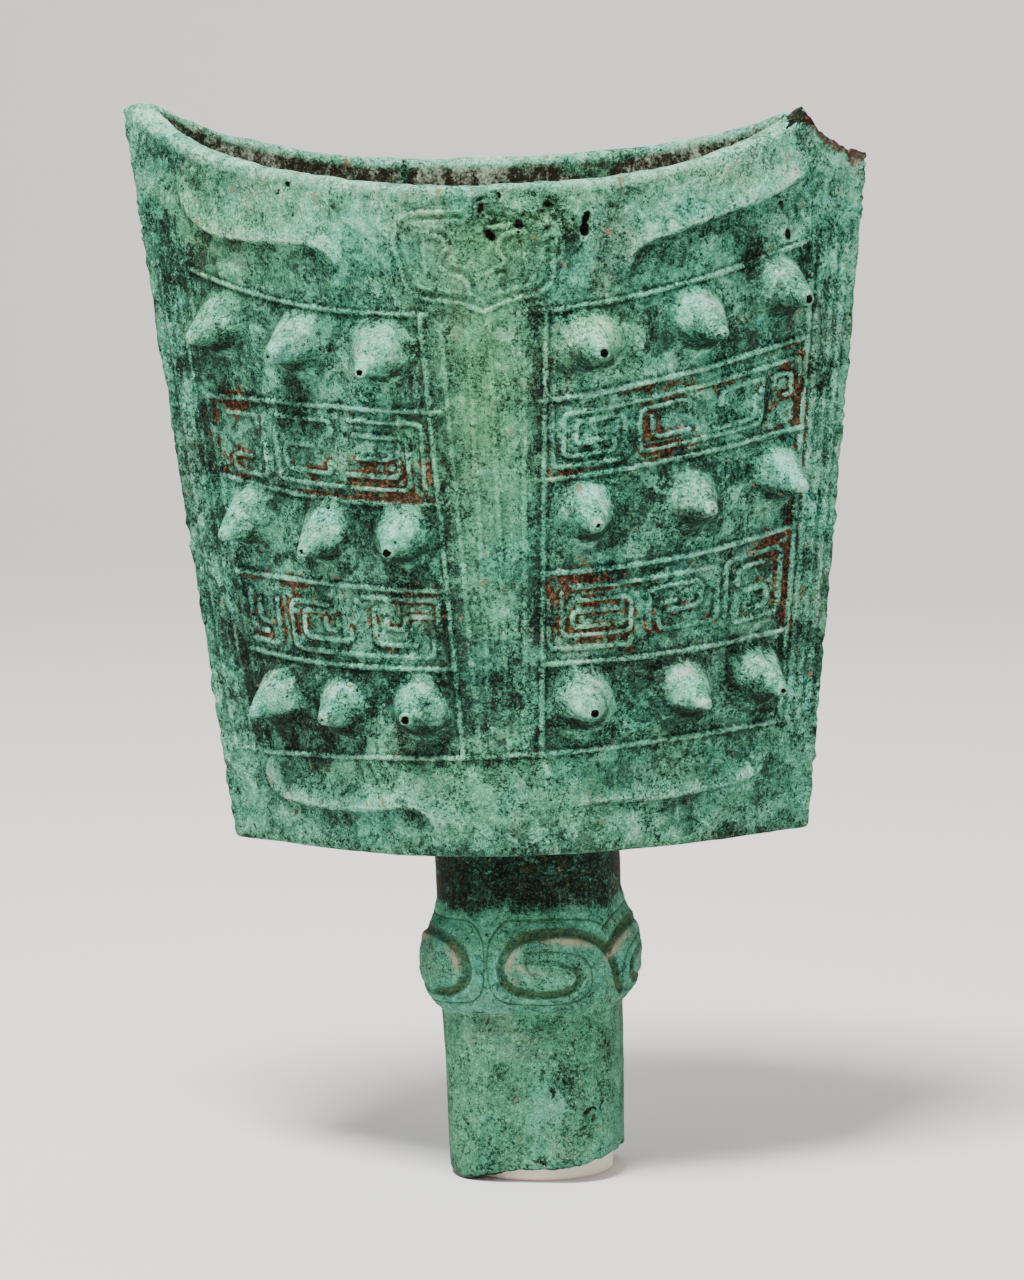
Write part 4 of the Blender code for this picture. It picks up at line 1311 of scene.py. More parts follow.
    @cached_property
    def ring_columns(self) -> tuple[Array, Array, Array]:
        """The ring of columns.

        Returns:
            The face, the place across at the rim as a share, and the angle round the shank, of each column.
        """
        sides, shares, angles = [], [], []
        faces = ((Face.FRONT, self.front_columns, -math.pi), (Face.BACK, self.back_columns, 0.0))
        for side, counts, start in faces:
            x, z = self.grid_places(side, counts)
            steps = x.shape[1] - 1
            for column in range(steps):
                sides.append(int(side))
                shares.append(x[-1, column] / self.form.half_width(z[-1, column]))
                angles.append(start + math.pi * column / steps)
        return np.array(sides), np.array(shares), np.array(angles)

    def inner_rim(self, inset: float) -> Array:
        """Heights of the rim over a ring that lies inside the skin.

        Args:
            inset: how far inside.

        Returns:
            A height for each column.
        """
        form = self.form
        sides, shares, _ = self.ring_columns
        ridge = math.atan(form.half_depth_mouth * math.pi / 2 / form.half_width_mouth)
        across = (form.half_width_mouth - inset / math.sin(ridge)) * shares
        heights = np.zeros(len(sides))
        for side in Face:
            here = sides == side
            heights[here] = form.broken_rim(side, -side * across[here], -side * shares[here])
        return heights

    def wall_ring(self, inset: float, heights: Array) -> Array:
        """A ring of points in the body's wall.

        Args:
            inset: how far inside the skin.
            heights: a height for each column.

        Returns:
            The points.
        """
        sides, shares, _ = self.ring_columns
        points = np.zeros((len(sides), 3))
        for side in Face:
            here = sides == side
            z = heights[here]
            points[here] = self.form.skin(side, shares[here] * self.form.half_width(z), z, inset)
        return points

    def stations(self) -> list[tuple[Region, Array]]:
        """The rings of points from the lip, down the inside, round the broken end and up the shank.

        Returns:
            The region and points of each ring.
        """
        form, shank = self.form, self.shank
        _, _, angles = self.ring_columns
        level = np.ones(angles.shape)
        foot = form.shank_length + form.floor
        found = []
        for inset, up in self.lip_steps:
            found.append((Region.LIP, self.wall_ring(inset, self.inner_rim(inset) + up)))
        for share in self.inside_shares:
            heights = mix(self.inner_rim(form.wall), foot, share)
            found.append((Region.INSIDE, self.wall_ring(form.wall, heights)))
        for inset, up in self.floor_steps:
            found.append((Region.INSIDE, self.wall_ring(inset, (foot + up) * level)))
        edge = found[-1][1]
        radius = shank.bore_radius
        bore = np.stack([radius * np.cos(angles), radius * np.sin(angles), foot * level], -1)
        for share in self.floor_shares:
            found.append((Region.INSIDE, mix(edge, bore * [self.bore_edge, self.bore_edge, 1.0], share)))
        for share in np.linspace(0.03, 1.0, 8):
            ring = bore.copy()
            end = shank.end_height(angles, ring[:, 0], ring[:, 1]) + 0.5
            ring[:, 2] = mix(foot, end, share)
            found.append((Region.INSIDE, ring))
        outside = shank.outline(form, angles, 0.0 * level)
        for share, up in self.broken_end_steps:
            ring = mix(bore, outside, share)
            ring[:, 2] = shank.end_height(angles, ring[:, 0], ring[:, 1]) + up
            found.append((Region.BROKEN_END, ring))
        middle = shank.ring_middle(form)
        low, high = middle - shank.ring_height * self.ring_reach, middle + shank.ring_height * self.ring_reach
        for share in np.linspace(0.0, 1.0, 20):
            ring = shank.outline(form, angles, 20.0 * level)
            end = shank.end_height(angles, ring[:, 0], ring[:, 1]) + 0.8
            found.append((Region.SHANK, shank.outline(form, angles, mix(end, low, share**1.25))))
        for z in (*np.linspace(low, high, 46)[1:], *np.linspace(high, form.shank_length, 11)[1:]):
            found.append((Region.SHANK, shank.outline(form, angles, z * level)))
        return found

    def close_round(self, bm: BMesh) -> None:
        """Draws the lip, the inside, the shank and the underside out from the faces, and closes the casting.

        Args:
            bm: both faces, joined along their ridges.
        """
        column = bm.verts.layers.int["column"]
        region = bm.verts.layers.int["region"]
        layers = field_layers(bm)
        mid = self.form.height(0.3)
        total = self.line_count(self.front_columns) + self.line_count(self.back_columns) - 2
        open_edges = [edge for edge in bm.edges if edge.is_boundary]
        edges = [edge for edge in open_edges if edge.verts[0].co.z > mid]
        foot = {vert[column] % total: vert for edge in open_edges for vert in edge.verts if vert.co.z < mid}
        for place, points in self.stations():
            verts, edges = drawn_out(bm, edges)
            for vert in verts:
                vert.co = points[vert[column] % total]
                vert[region] = place
                for layer in layers.values():
                    vert[layer] = 0.0
        last = self.underside_shares[-1]
        steps = [(share / last, 0.0, 0.0) for share in self.underside_shares]
        steps += [(1.0, share, up) for share, up in self.foot_round]
        for inner_share, outer_share, up in steps:
            verts, edges = drawn_out(bm, edges)
            for vert in verts:
                end = foot[vert[column] % total].co
                start = Vector(self.shank_start[vert[column] % total])
                inner = Vector((end.x * self.foot_inset[0], end.y * self.foot_inset[1], 0.0))
                flat = mix(start, inner, inner_share)
                if outer_share > 0:
                    flat = mix(inner, Vector((end.x, end.y, 0.0)), outer_share)
                vert.co = (flat.x, flat.y, self.form.shank_length + up)
                vert[region] = Region.UNDERSIDE
        loose = {vert for edge in bm.edges if edge.is_boundary for vert in edge.verts}
        bmesh.ops.remove_doubles(bm, verts=list(loose), dist=0.02)

    @cached_property
    def shank_start(self) -> Array:
        """The top ring of the shank, flat.

        Returns:
            A point for each column.
        """
        _, _, angles = self.ring_columns
        ring = self.shank.outline(self.form, angles, np.full(angles.shape, self.form.shank_length))
        ring[:, 2] = 0.0
        return ring

    def ring_strokes(self) -> list[Stroke]:
        """The spirals of the ring, drawn flat.

        Returns:
            Their strokes, in millimetres round the ring from +X and up.
        """
        groove, line = self.spiral_groove, self.spiral_line
        middle = self.shank.ring_middle(self.form)
        strokes = []
        for number in range(-2, 4):
            turn = -1 if number % 2 else 1
            ends = (17, 16) if number == -1 else (len(groove), len(line))
            start = 3 if number == 1 else 0
            kinds = (StrokeKind.BROAD_GROOVE, StrokeKind.FINE_GROOVE)
            centre = self.spiral_middle(number)
            for points, kind in zip((groove[start:ends[0]], line[:ends[1]]), kinds):
                path = [((centre + turn * angle) * self.degree, middle + z) for angle, z in points]
                strokes.append(Stroke(rounded_path(path, 3.0), kind, turn))
        return strokes

    @property
    def degree(self) -> float:
        """The way round the ring that one degree makes."""
        return math.radians(1) * (self.shank.half_width_top + self.shank.ring_bulge)

    def spiral_middle(self, number: int) -> float:
        """The angle of one spiral's middle, in degrees from +X towards +Y."""
        return self.panel_turn - 90 + (67 if number < 0 else 72) * number

    def around_ring(self, points: Array) -> tuple[Array, Array, Array]:
        """Unrolls points of the shank.

        Args:
            points: the points.

        Returns:
            Their angles in degrees, their places round the ring in millimetres, and their heights.
        """
        angle = np.degrees(np.arctan2(points[:, 1], points[:, 0]))
        angle = np.where(angle > 90, angle - 360, angle)
        return angle, angle * self.degree, points[:, 2]

    def refine_ring(self, bm: BMesh) -> None:
        """Splits the ring's faces finer along its grooves, where they are seen from the front.

        Args:
            bm: the closed casting.
        """
        region = bm.verts.layers.int["region"]
        faces = [face for face in bm.faces if all(vert[region] == Region.SHANK for vert in face.verts)]
        middles = np.array([face.calc_center_median() for face in faces])
        _, x, z = self.around_ring(middles)
        chosen = np.zeros(len(faces), bool)
        for stroke in self.ring_strokes():
            gap, _, _ = stroke.nearest(x, z)
            chosen |= (gap < stroke.kind.value[0] + 0.9) & (middles[:, 1] < 6)
        edges = {edge for face, use in zip(faces, chosen) if use for edge in face.edges}
        made = bmesh.ops.subdivide_edges(bm, edges=list(edges), cuts=1, use_grid_fill=True)
        for item in made["geom_inner"]:
            if isinstance(item, BMVert):
                item[region] = Region.SHANK

    def dress_shank(self, bm: BMesh) -> None:
        """Raises the ring's spiral bosses and gives the shank its fields of patina.

        Args:
            bm: the closed casting.
        """
        region = bm.verts.layers.int["region"]
        verts = [vert for vert in bm.verts if vert[region] == Region.SHANK]
        points = np.array([vert.co for vert in verts])
        angle, x, z = self.around_ring(points)
        turn = np.radians(angle)
        middle = self.shank.ring_middle(self.form)
        outward = np.stack([np.cos(turn), np.sin(turn), np.zeros(len(x))], -1)
        lift, hollow, worn, cut = (np.zeros(len(x)) for _ in range(4))
        for number in range(-2, 4):
            centre = self.spiral_middle(number) * self.degree
            reach = ((x - centre) / 20.0) ** 2 + ((z - middle + 1.0) / 15.5) ** 2
            lift = np.maximum(lift, (3.6 if number == -1 else 2.6) * np.clip(1 - reach, 0, 1) ** 0.6)
        for stroke in self.ring_strokes():
            half, rise, _ = stroke.kind.value
            gap, side, way = stroke.nearest(x, z)
            lift += rise * np.clip(1 - (gap / half) ** 2, 0.0, 1.0) ** 1.2
            broad = half > 1
            inmost = 1 - 0.35 * smooth_step(0.80, 0.90, way / stroke.length()) * broad
            # Painted shade in the spirals' broad grooves, held in hollow.
            hollow = np.maximum(hollow, 0.4 * np.clip(1.6 - gap / half, 0, 1) * broad)
            cut = np.maximum(cut, np.clip(3 - gap / half, 0, 3) * inmost * (1.0 if broad else 0.8))
            edge = np.exp(-(((gap - half * 1.7) / (0.7 * half)) ** 2)) * (side * stroke.high_side > 0)
            if broad:
                lift += 0.35 * edge
                upper = smooth_step(-6.0, 2.0, z - middle)
                worn = np.maximum(worn, edge * upper * (0.5 + 0.5 * np.sin(way * 0.21 + 0.6)))
        for vert, point in zip(verts, points + outward * lift[:, None]):
            vert.co = point
        rise = (z - middle) / self.shank.ring_height
        on_ring = smooth_step(-0.58, -0.46, rise) * (1 - smooth_step(0.40, 0.54, rise))
        neck = smooth_step(0.42, 0.56, rise + 0.03 * np.sin(x * 0.21))
        low = 1 - smooth_step(2, 10, z)
        plain = (1 - neck) * (1 - on_ring)
        green = soft_patches(x, z, self.patina.green_on_neck)
        moss = soft_patches(x, z, self.patina.moss_on_shank)
        zero = np.zeros(len(x))
        write_fields(verts, field_layers(bm), {
            "crest": zero, "pale": zero,
            "cut": cut * on_ring, "hollow": hollow * on_ring, "worn": worn * on_ring,
            "dark": (1.15 - 0.15 * green) * neck + 0.12 * low + 0.75 * moss + 0.12 * plain,
            "soot": neck * (0.46 - 0.35 * green) + 0.72 * moss + 0.3 * low + 0.10 * (1 - on_ring),
            "calm": 1 - 0.6 * neck,
            "rust": 0.08 * neck + 0.2 * low + 0.45 * moss,
            "warm": 0.4 * plain,
            "pitted": 0.15 * (1 - on_ring),
        })

    def roughen(self, bm: BMesh) -> None:
        """Gives the whole skin its small lumps and worn edges.

        Args:
            bm: the closed casting.
        """
        region = bm.verts.layers.int["region"]
        pitted = bm.verts.layers.float["pitted"]
        bm.normal_update()
        moves = []
        strengths = {Region.LIP: (0.35, 0.50), Region.INSIDE: (0.8, 0.35), Region.BROKEN_END: (0.3, 0.8)}
        for vert in bm.verts:
            on_face = vert[region] == Region.FACE
            broad = noise.fractal(vert.co * 0.04, 1.0, 2.0, 3)
            small = noise.fractal(vert.co * 0.21, 0.9, 2.1, 3)
            strength = strengths.get(vert[region], (0.30, 0.16 + 1.1 * vert[pitted] * on_face))
            ridge = 1 - min(1.0, abs(vert.co.y) / 2.5) if on_face else 0.0
            edge = 0.85 * ridge * noise.fractal(vert.co * 0.5, 0.7, 2.2, 2)
            moves.append(vert.normal * (broad * strength[0] + small * strength[1] + edge))
        for vert, move in zip(bm.verts, moves):
            vert.co += move

    def other_fields(self, bm: BMesh) -> None:
        """Gives the lip, the inside, the broken end and the underside their fields of patina.

        Args:
            bm: the closed casting.
        """
        region = bm.verts.layers.int["region"]
        inner = bm.verts.layers.float.new("inner")
        fracture = bm.verts.layers.float.new("fracture")
        layers = field_layers(bm)
        patina = self.patina
        plain = {
            Region.LIP: patina.lip, Region.INSIDE: patina.inside, Region.BROKEN_END: patina.broken_end,
            Region.UNDERSIDE: patina.underside,
        }
        for vert in bm.verts:
            place = vert[region]
            x = vert.co.x - self.form.offset
            if place in plain:
                for name, value in zip(("rust", "dark", "pale", "warm"), plain[place]):
                    vert[layers[name]] = value
                at_tip = 104 < x < 116 and vert.co.y < 0
                vert[layers["soot"]] = 0.75 if place == Region.LIP and at_tip else 0.0
            vert[inner] = 1.0 if place == Region.INSIDE else 0.0
            if self.broken_away(place, x, vert.co.y, vert.co.z):
                vert[fracture] = 0.8 if place == Region.FACE else 1.0
                vert[layers["pale"]] = 0.0

    def broken_away(self, place: int, x: float, y: float, z: float) -> bool:
        """Whether a point lies on the break of the mouth's corner.

        Args:
            place: the point's region.
            x: its place across, from the middle of the body.
            y: its place from front to back.
            z: its height.

        Returns:
            True on the break.
        """
        form = self.form
        if place not in (Region.LIP, Region.INSIDE, Region.FACE):
            return False
        if x <= 0.80 * form.half_width_mouth or z <= form.height(1.0) - 45:
            return False
        side = Face.FRONT if y < 0 else Face.BACK
        u = np.array(min(1.0, x / float(form.half_width(z))))
        today = float(form.broken_rim(side, np.array(x), u))
        return float(form.rim(side, u)) - today > 0.3 and z > today - (2.6 if place == Region.FACE else 4.0)

    def build(self) -> Object:
        """Builds the casting.

        Returns:
            The bell's object.
        """
        bm = bmesh.new()
        for name in ("column", "region"):
            bm.verts.layers.int.new(name)
        for name in FIELDS:
            bm.verts.layers.float.new(name)
        self.add_face(bm, Face.FRONT, self.front_columns, 0)
        self.add_face(bm, Face.BACK, self.back_columns, self.line_count(self.front_columns) - 1)
        seam = {vert for edge in bm.edges if edge.is_boundary for vert in edge.verts}
        bmesh.ops.remove_doubles(bm, verts=list(seam), dist=0.01)
        self.close_round(bm)
        bmesh.ops.recalc_face_normals(bm, faces=bm.faces)
        self.refine_ring(bm)
        self.dress_shank(bm)
        self.other_fields(bm)
        self.roughen(bm)
        lean = Euler((math.radians(self.shank.lean_forward), -math.radians(self.shank.lean_left), 0.0))
        bmesh.ops.transform(bm, matrix=Matrix.Scale(MM, 4) @ lean.to_matrix().to_4x4(), verts=bm.verts)
        for vert in bm.verts:
            vert.co.z = max(vert.co.z, GROUND_GAP)
        bmesh.ops.recalc_face_normals(bm, faces=bm.faces)
        for face in bm.faces:
            face.smooth = True
        open_edges = sum(not edge.is_manifold for edge in bm.edges)
        LOG.info("bell: %d faces, %d open edges", len(bm.faces), open_edges)
        return finished_object("cast_bell", bm)


def finished_object(name: str, bm: BMesh) -> Object:
    """Turns a bmesh into an object at the origin.

    Args:
        name: the object's name.
        bm: its mesh, which is freed.

    Returns:
        The object.
    """
    mesh = bpy.data.meshes.new(name)
    bm.to_mesh(mesh)
    bm.free()
    made = bpy.data.objects.new(name, mesh)
    bpy.context.scene.collection.objects.link(made)
    return made


class NodeMaker:
    """Short ways to lay out a material's nodes."""

    def __init__(self, name: str) -> None:
        """Starts a material.

        Args:
            name: the material's name.
        """
        self.material = bpy.data.materials.new(name)
        self.material.use_nodes = True
        self.tree = self.material.node_tree
        self.shader = self.tree.nodes["Principled BSDF"]
        self.coordinates = self.tree.nodes.new("ShaderNodeTexCoord").outputs["Object"]

    def node(self, kind: str, output: str, inputs: dict, **settings: str) -> Socket:
        """Adds a node.

        Args:
            kind: its kind.
            output: the output that is wanted.
            inputs: an output socket, a number or a colour for each of its inputs.
            settings: its settings.

        Returns:
            The output.
        """
        node = self.tree.nodes.new(kind)
        for name, value in settings.items():
            setattr(node, name, value)
        for name, value in inputs.items():
            self.link(value, node.inputs[name])
        return next(socket for socket in node.outputs if socket.name == output and socket.enabled)

    def link(self, source: Source, target: Socket) -> None:
        """Links an output to an input, or sets the input to a plain value.

        Args:
            source: an output socket, a number or a colour.
            target: the input socket.
        """
        if isinstance(source, Socket):
            self.tree.links.new(source, target)
        else:
            target.default_value = source

    def attribute(self, name: str) -> Socket:
        """The value of one of the mesh's fields."""
        return self.node("ShaderNodeAttribute", "Fac", {}, attribute_name=name)

    def noise(self, scale: float, detail: float, roughness: float = 0.6, distortion: float = 0.0) -> Socket:
        """A noise pattern.

        Args:
            scale: how many lumps to a metre.
            detail: how many finer layers.
            roughness: how strong the finer layers are.
            distortion: how much it is stirred.

        Returns:
            The pattern's value.
        """
        inputs = {"Scale": scale, "Detail": detail, "Roughness": roughness, "Distortion": distortion}
        return self.node("ShaderNodeTexNoise", "Fac", {**inputs, "Vector": self.coordinates})

    def cells(self, scale: float) -> Socket:
        """The distance from the nearest point of a cell pattern, with so many cells to a metre."""
        return self.node("ShaderNodeTexVoronoi", "Distance", {"Scale": scale, "Vector": self.coordinates})

    def ramp(self, value: Source, stops: tuple) -> Socket:
        """Colours along a value.

        Args:
            value: the value.
            stops: (place, colour) of each stop, in order.

        Returns:
            The colour.
        """
        made = self.node("ShaderNodeValToRGB", "Color", {"Fac": value})
        elements = made.node.color_ramp.elements
        elements[0].position, elements[0].color = stops[0]
        elements[1].position, elements[1].color = stops[-1]
        for place, colour in stops[1:-1]:
            elements.new(place).color = colour
        return made

    def between(self, value: Source, low: float, high: float, start: float = 0.0, end: float = 1.0) -> Socket:
        """Maps a value's range softly to another.

        Args:
            value: the value.
            low: where its range begins.
            high: where its range ends.
            start: the result at the beginning and before it.
            end: the result at the end and after it.

        Returns:
            The result.
        """
        inputs = {"Value": value, "From Min": low, "From Max": high, "To Min": start, "To Max": end}
        return self.node("ShaderNodeMapRange", "Result", inputs, interpolation_type="SMOOTHSTEP")

    def maths(self, kind: str, first: Source, second: Source = 0.0, third: Source = 0.0) -> Socket:
        """The result of an operation on two or three values."""
        return self.node("ShaderNodeMath", "Value", {0: first, 1: second, 2: third}, operation=kind)

    def product(self, first: Source, second: Source) -> Socket:
        """The product of two values."""
        return self.maths("MULTIPLY", first, second)

    def plus(self, first: Source, second: Source) -> Socket:
        """The sum of two values."""
        return self.maths("ADD", first, second)

    def spread(self, value: Source, middle: float, factor: float, start: Source) -> Socket:
        """Adds a value, taken from its own middle, times a factor.

        Args:
            value: the value.
            middle: its middle.
            factor: what it is multiplied by.
            start: what it is added to.

        Returns:
            The sum.
        """
        return self.maths("MULTIPLY_ADD", self.maths("SUBTRACT", value, middle), factor, start)

    def sum_of(self, *terms: tuple) -> Socket:
        """The sum of several values, each taken from its own middle.

        Args:
            terms: (value, factor, middle) of each term.

        Returns:
            The sum.
        """
        total = 0.0
        for value, factor, middle in terms:
            total = self.spread(value, middle, factor, total)
        return total

    def colour_mix(self, share: Source, first: Source, second: Source, blend: str = "MIX") -> Socket:
        """Mixes two colours.

        Args:
            share: how much of the second.
            first: the first colour.
            second: the second colour.
            blend: how the second is laid on the first.

        Returns:
            The colour.
        """
        inputs = {"Factor": share, "A": first, "B": second}
        return self.node("ShaderNodeMix", "Result", inputs, data_type="RGBA", blend_type=blend)

    def bump(self, height: Source, strength: float, distance: float, normal: Socket | None = None) -> Socket:
        """Turns a height pattern into a normal.

        Args:
            height: the pattern.
            strength: how strong the bumps are.
            distance: how high they are, in metres.
            normal: the normal that they are laid on, if it isn't the surface's own.

        Returns:
            The normal.
        """
        inputs = {"Strength": strength, "Distance": distance, "Height": height}
        if normal is not None:
            inputs["Normal"] = normal
        return self.node("ShaderNodeBump", "Normal", inputs)


class PatinaNodes(NodeMaker):
    """The patterns of the patina: its plates, chips and specks, and its raised and sunk lines."""

    def __init__(self, name: str) -> None:
        """Lays out the patterns that the colours and the bumps share.

        Args:
            name: the material's name.
        """
        super().__init__(name)
        self.fields = {name: self.attribute(name) for name in (*FIELDS, "inner", "fracture")}
        dark, pale, hollow, crest = (self.fields[name] for name in ("dark", "pale", "hollow", "crest"))
        self.broad = self.noise(26, 3, 0.55, 0.6)
        self.medium = self.noise(105, 5, 0.65, 0.4)
        self.clots = self.noise(270, 6, 0.72, 0.6)
        self.grain = self.noise(760, 4, 0.8)
        self.fine = self.noise(2600, 2, 0.8)
        self.skin_noise = self.noise(58, 5, 0.52, 0.6)
        # The crests of the raised lines are painted pale, partly wear and partly painted highlight, and their
        # feet get a painted shade.
        ragged = self.spread(self.grain, 0.5, 3.0, self.fields["ridge"])
        self.crest_pale_and_highlight = self.product(self.between(ragged, 2.3, 2.7), crest)
        painted_foot_shade = self.product(self.between(ragged, 1.0, 1.8), self.between(ragged, 2.35, 2.05))
        self.painted_foot_shade = self.product(painted_foot_shade, crest)
        self.groove = self.between(self.spread(self.grain, 0.5, 0.8, self.fields["cut"]), 1.85, 2.2)
        self.ragged_edge = self.product(self.maths("SUBTRACT", self.grain, 0.5), 0.05)
        # The painted highlight in pale and the painted shade in dark and hollow also shift where the plates
        # and crusts lie.
        bias = self.sum_of((pale, 0.10, 0.0), (dark, -0.10, 0.0), (hollow, -0.03, 0.0))
        bias = self.plus(bias, self.ragged_edge)
        self.skin = self.between(self.plus(self.skin_noise, bias), 0.4665, 0.4695)
        self.mint = self.between(self.plus(self.noise(38, 5, 0.55, 0.9), bias), 0.560, 0.563)
        self.chips = self.between(self.plus(self.noise(150, 4, 0.55, 0.9), bias), 0.474, 0.480)
        self.crust = self.between(self.plus(self.noise(115, 5, 0.62, 0.6), bias), 0.598, 0.603)
        crumbs = self.maths("MULTIPLY_ADD", bias, 0.5, self.noise(400, 4, 0.66, 0.4))
        self.crumbs = self.between(crumbs, 0.49, 0.51)
        # Dark specks gather in the painted shade of dark and hollow, and pale flecks further down gather on
        # the painted highlight of pale and the crests.
        sunk = self.sum_of(
            (self.noise(980, 3, 0.72), 1.0, 0.0), (dark, 0.06, 0.0), (self.medium, -0.60, 0.5),
            (hollow, 0.03, 0.0),
        )
        self.specks = self.between(sunk, 0.585, 0.605)
        raised = self.sum_of(
            (self.noise(1400, 3, 0.72), 1.0, 0.0), (pale, 0.10, 0.0), (self.crest_pale_and_highlight, 0.06, 0.0),
            (self.clots, 0.5, 0.5), (dark, -0.03, 0.0),
        )
        self.flecks = self.between(raised, 0.585, 0.605)

    def tone(self) -> Socket:
        """How light the patina is: its plates, its grain and the broad fields together.

        Returns:
            The tone, from 0 to about 1.
        """
        dark, pale, hollow, calm = (self.fields[name] for name in ("dark", "pale", "hollow", "calm"))
        plates = self.sum_of(
            (self.medium, 0.12, 0.5), (self.broad, 0.14, 0.5), (self.clots, 0.20, 0.5),
            (self.skin, 0.085, 0.68), (self.mint, 0.045, 0.25), (self.chips, 0.065, 0.62),
            (self.crust, 0.09, 0.10),
        )
        liveliness = self.maths("MULTIPLY_ADD", calm, -0.62, 1.0)
        plates = self.product(plates, self.maths("MULTIPLY_ADD", pale, -0.25, liveliness))
        texture = self.sum_of(
            (self.grain, 0.38, 0.5), (self.fine, 0.45, 0.5), (self.specks, -0.18, 0.0),
            (self.flecks, 0.12, 0.0), (self.crumbs, 0.055, 0.5),
        )
        texture = self.product(texture, self.maths("MULTIPLY_ADD", calm, -0.30, 1.0))
        # Where dark passes 1 the tone drops hard: the painted shade under the bosses, and the neck's own dark
        # crust. The pale, dark and hollow fields, the crest highlight and the foot shade below lay painted
        # highlight and painted shade into the tone, along with the patina's own patches.
        deep = self.maths("MAXIMUM", self.maths("SUBTRACT", dark, 1.0), 0.0)
        return self.sum_of(
            (plates, 1.0, 0.0), (texture, 1.0, 0.0), (dark, -0.05, 0.0), (pale, 0.075, 0.0),
            (self.crest_pale_and_highlight, 0.092, 0.0), (self.painted_foot_shade, -0.055, 0.0), (hollow, -0.03, 0.0),
            (self.groove, -0.06, 0.0), (deep, -0.16, 0.0), (0.0, 1.0, -0.510),
        )

    def holes(self) -> Socket:
        """The pits of the casting and the fine holes beside them.

        Returns:
            1 in a hole, 0 elsewhere.
        """
        hole = self.fields["hole"]
        worn_pits = self.between(self.spread(self.clots, 0.5, 0.9, hole), 0.95, 1.12)
        worn_pits = self.product(worn_pits, self.between(hole, 0.05, 0.2))
        many = self.plus(self.noise(60, 2), self.product(self.fields["pitted"], 0.2))
        fine_holes = self.product(self.between(self.cells(170), 0.115, 0.07), self.between(many, 0.60, 0.66))
        return self.maths("MAXIMUM", fine_holes, worn_pits)

    def surface(self, holes: Socket) -> Socket:
        """Lays the lines, clots, grit and plates over one another as bumps.

        Args:
            holes: 1 in a hole, 0 elsewhere.

        Returns:
            The normal.
        """
        profile = self.product(self.between(self.fields["ridge"], 1.95, 3.0), self.fields["crest"])
        profile = self.sum_of((profile, 1.0, 0.0), (self.groove, -0.9, 0.0))
        normal = self.bump(self.clots, 0.7, 0.0014, self.bump(profile, 0.9, 0.0007))
        grit = self.sum_of(
            (self.grain, 0.45, 0.0), (self.fine, 0.4, 0.0), (self.specks, -0.16, 0.0),
            (self.flecks, 0.12, 0.0), (self.crumbs, 0.06, 0.0),
        )
        steps = self.sum_of(
            (holes, -1.0, 0.0), (self.skin, 0.2, 0.0), (self.chips, 0.16, 0.0), (self.crust, 0.25, 0.0)
        )
        return self.bump(steps, 0.9, 0.0010, self.bump(grit, 0.9, 0.0011, normal))


def display_colour(red: int, green: int, blue: int) -> tuple[float, float, float, float]:
    """A colour given as it looks on a screen.

    Args:
        red: 0 to 255.
        green: 0 to 255.
        blue: 0 to 255.

    Returns:
        The linear colour.
    """
    values = []
    for value in (red, green, blue):
        share = value / 255
        values.append(share / 12.92 if share <= 0.04045 else ((share + 0.055) / 1.055) ** 2.4)
    return (*values, 1.0)


